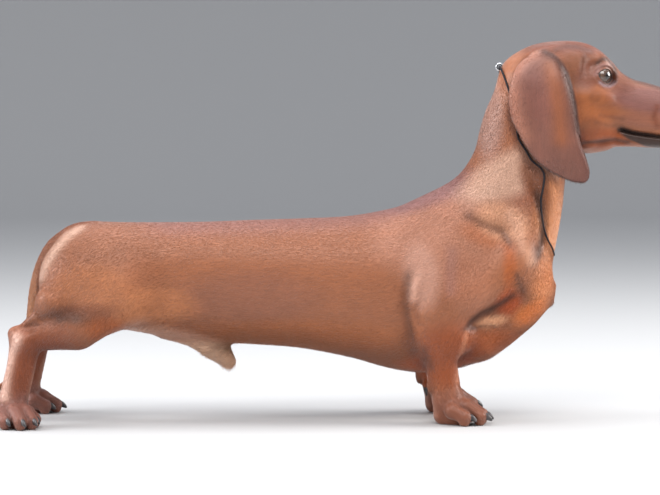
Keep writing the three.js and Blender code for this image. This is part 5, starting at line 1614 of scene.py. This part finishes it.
def neck_growth(p, n):
    return grown((512, 20, 250), (60, 60, 90))(p, n) * off_head(p)


def over_cord(p, n):
    """Just above the collar, whose cord the hair half covers."""
    along = loop[::6]
    squares = (p * p).sum(1)[:, None] - 2 * p @ along.T + (along * along).sum(1)
    return ramp(7, 3, np.sqrt(clamp01(squares.min(1) / 100)) * 10) * ramp(300, 240, p[:, 2])


def tail_growth(p, n):
    return ramp(3, 1, tail(p))


def ear_growth(p, n):
    """Thin on the flap, dense at its edge."""
    flap, edge = on_ear(p)
    return flap * (0.12 + ramp(-7, -2, edge))


def face_growth(p, n):
    ahead = mirror(straightened(p))
    bare = ramp(3, 0.5, nose_form(ahead)) + ramp(3.5, 1, lens(*eye_frame(ahead)[1:]))
    return (1 - off_head(p)) * (1 - on_ear(p)[0]) * clamp01(1 - bare)


def foot_growth(p, n):
    return ramp(30, 24, p[:, 2]) * ramp(-0.7, -0.2, n[:, 2])


COATS = [  # (name, number, where by place and normal, length, width, lift, droop)
    ("back", 30000, back_growth, 5.5, 0.4, 0.028, 0),
    ("flanks", 24000, grown((260, 60, 135), (210, 50, 70)), 5.5, 0.4, 0.024, 0),
    ("belly", 16000, belly_growth, 8, 0.5, 0.08, 0.06),
    ("sheath", 3000, sheath_growth, 9, 0.55, 0.12, 0.2),
    ("thighs", 20000, grown((66, 44, 130), (60, 50, 64)), 6, 0.42, 0.034, 0.02),
    ("hind_legs", 12000, low_leg(150, 120), 4.5, 0.38, 0.06, 0),
    ("shoulders", 20000, grown((440, 50, 165), (50, 50, 60)), 5, 0.38, 0.028, 0),
    ("breast", 16000, grown((520, 10, 120), (52, 60, 56)), 5.5, 0.4, 0.045, 0.02),
    ("fore_legs", 12000, low_leg(380, 400), 4.5, 0.38, 0.06, 0),
    ("neck", 24000, neck_growth, 5, 0.38, 0.035, 0),
    ("collar_fringe", 2600, over_cord, 7, 0.4, 0.07, 0),
    ("tail", 8000, tail_growth, 5.5, 0.42, 0.07, 0.05),
    ("ears", 12000, ear_growth, 3.2, 0.28, 0.035, 0.02),
    ("face", 22000, face_growth, 2.6, 0.24, 0.032, 0),
    ("feet", 12000, foot_growth, 3, 0.32, 0.06, 0),
]
SOLE = 1.5  # no tuft grows below this height
FIRST_SEED = 100
for number, (name, count, where, *shape) in enumerate(COATS):
    random = np.random.default_rng(FIRST_SEED + number)
    weight = where(skin_middles, skin_normals[skin_quads[:, 0]]) * (skin_middles[:, 2] > SOLE)
    root, normal = roots(random, weight, count)
    dress(tuft_mesh(f"coat_{name}", random, root, normal, *shape), "coat", tuft_material)


# Camera, light and floor
CAMERA_PLACE = (245, -2500, 304)  # counted like the dog's own places
CAMERA_YAW = 1.95  # degrees to the right
CAMERA_PITCH = 3.03  # degrees down
FOCAL_PIXELS = 2505
WIDTH_PIXELS = 660
SENSOR = 36

camera = bpy.data.objects.new("camera", bpy.data.cameras.new("camera"))
camera.location = to_metres(CAMERA_PLACE)
camera.rotation_euler = (math.radians(90 - CAMERA_PITCH), 0, math.radians(-CAMERA_YAW))
camera.data.sensor_width = SENSOR
camera.data.lens = FOCAL_PIXELS * SENSOR / WIDTH_PIXELS
bpy.context.scene.collection.objects.link(camera)
bpy.context.scene.camera = camera


def softbox(name, place, aim, size, power, colour=(1, 1, 1)):
    lamp = bpy.data.lights.new(name, "AREA")
    lamp.shape = "RECTANGLE"
    lamp.size, lamp.size_y = size
    lamp.energy = power
    lamp.color = colour
    held = bpy.data.objects.new(name, lamp)
    held.location = place
    held.rotation_euler = (Vector(aim) - Vector(place)).to_track_quat("-Z", "Y").to_euler()
    bpy.context.scene.collection.objects.link(held)


AIM = (0, 0, 0.16)
softbox("key", (-0.1, -1.5, 2.0), AIM, (1.8, 1.2), 42, (1, 0.98, 0.96))
softbox("overhead", (0.1, 0.3, 2.2), AIM, (2.4, 1.8), 40, (0.93, 0.96, 1))
softbox("front", (2.3, 0.1, 1.1), AIM, (1.4, 1.2), 62, (1, 0.98, 0.95))
softbox("rear", (-2.1, -0.2, 1.1), AIM, (1.4, 1.4), 50, (0.97, 0.98, 1))
world = bpy.data.worlds.new("studio")
world.use_nodes = True
world.node_tree.nodes["Background"].inputs["Color"].default_value = (0.9, 0.93, 1, 1)
world.node_tree.nodes["Background"].inputs["Strength"].default_value = 0.6
bpy.context.scene.world = world
bpy.context.scene.view_settings.view_transform = "Standard"

FLOOR = {"flat": 5000, "curve": 2500, "rings": 24, "sides": 96}


def dish():
    """A flat floor whose far edge curves up all round, so that it has no horizon."""
    a = np.linspace(0, np.pi / 2, FLOOR["rings"])
    reach = np.append(FLOOR["flat"] / 9, FLOOR["flat"] + FLOOR["curve"] * np.sin(a))[:, None, None]
    height = np.append(0, FLOOR["curve"] * (1 - np.cos(a)))[:, None, None]
    rings = reach * circle(FLOOR["sides"], [1, 0, 0], [0, 1, 0]) + height * [0, 0, 1]
    points, (quads, middle_fan, _) = lofted(rings)
    return points[:-1] - SHIFT * [1, 1, 0], [quads, middle_fan]


floor = mesh_of("floor", *dish())
floor_material, tree, floor_shader = material("pale_floor", 0.7)
floor_shader.inputs["Base Color"].default_value = (0.5, 0.5, 0.5, 1)
floor.data.materials.append(floor_material)

bpy.context.view_layer.update()
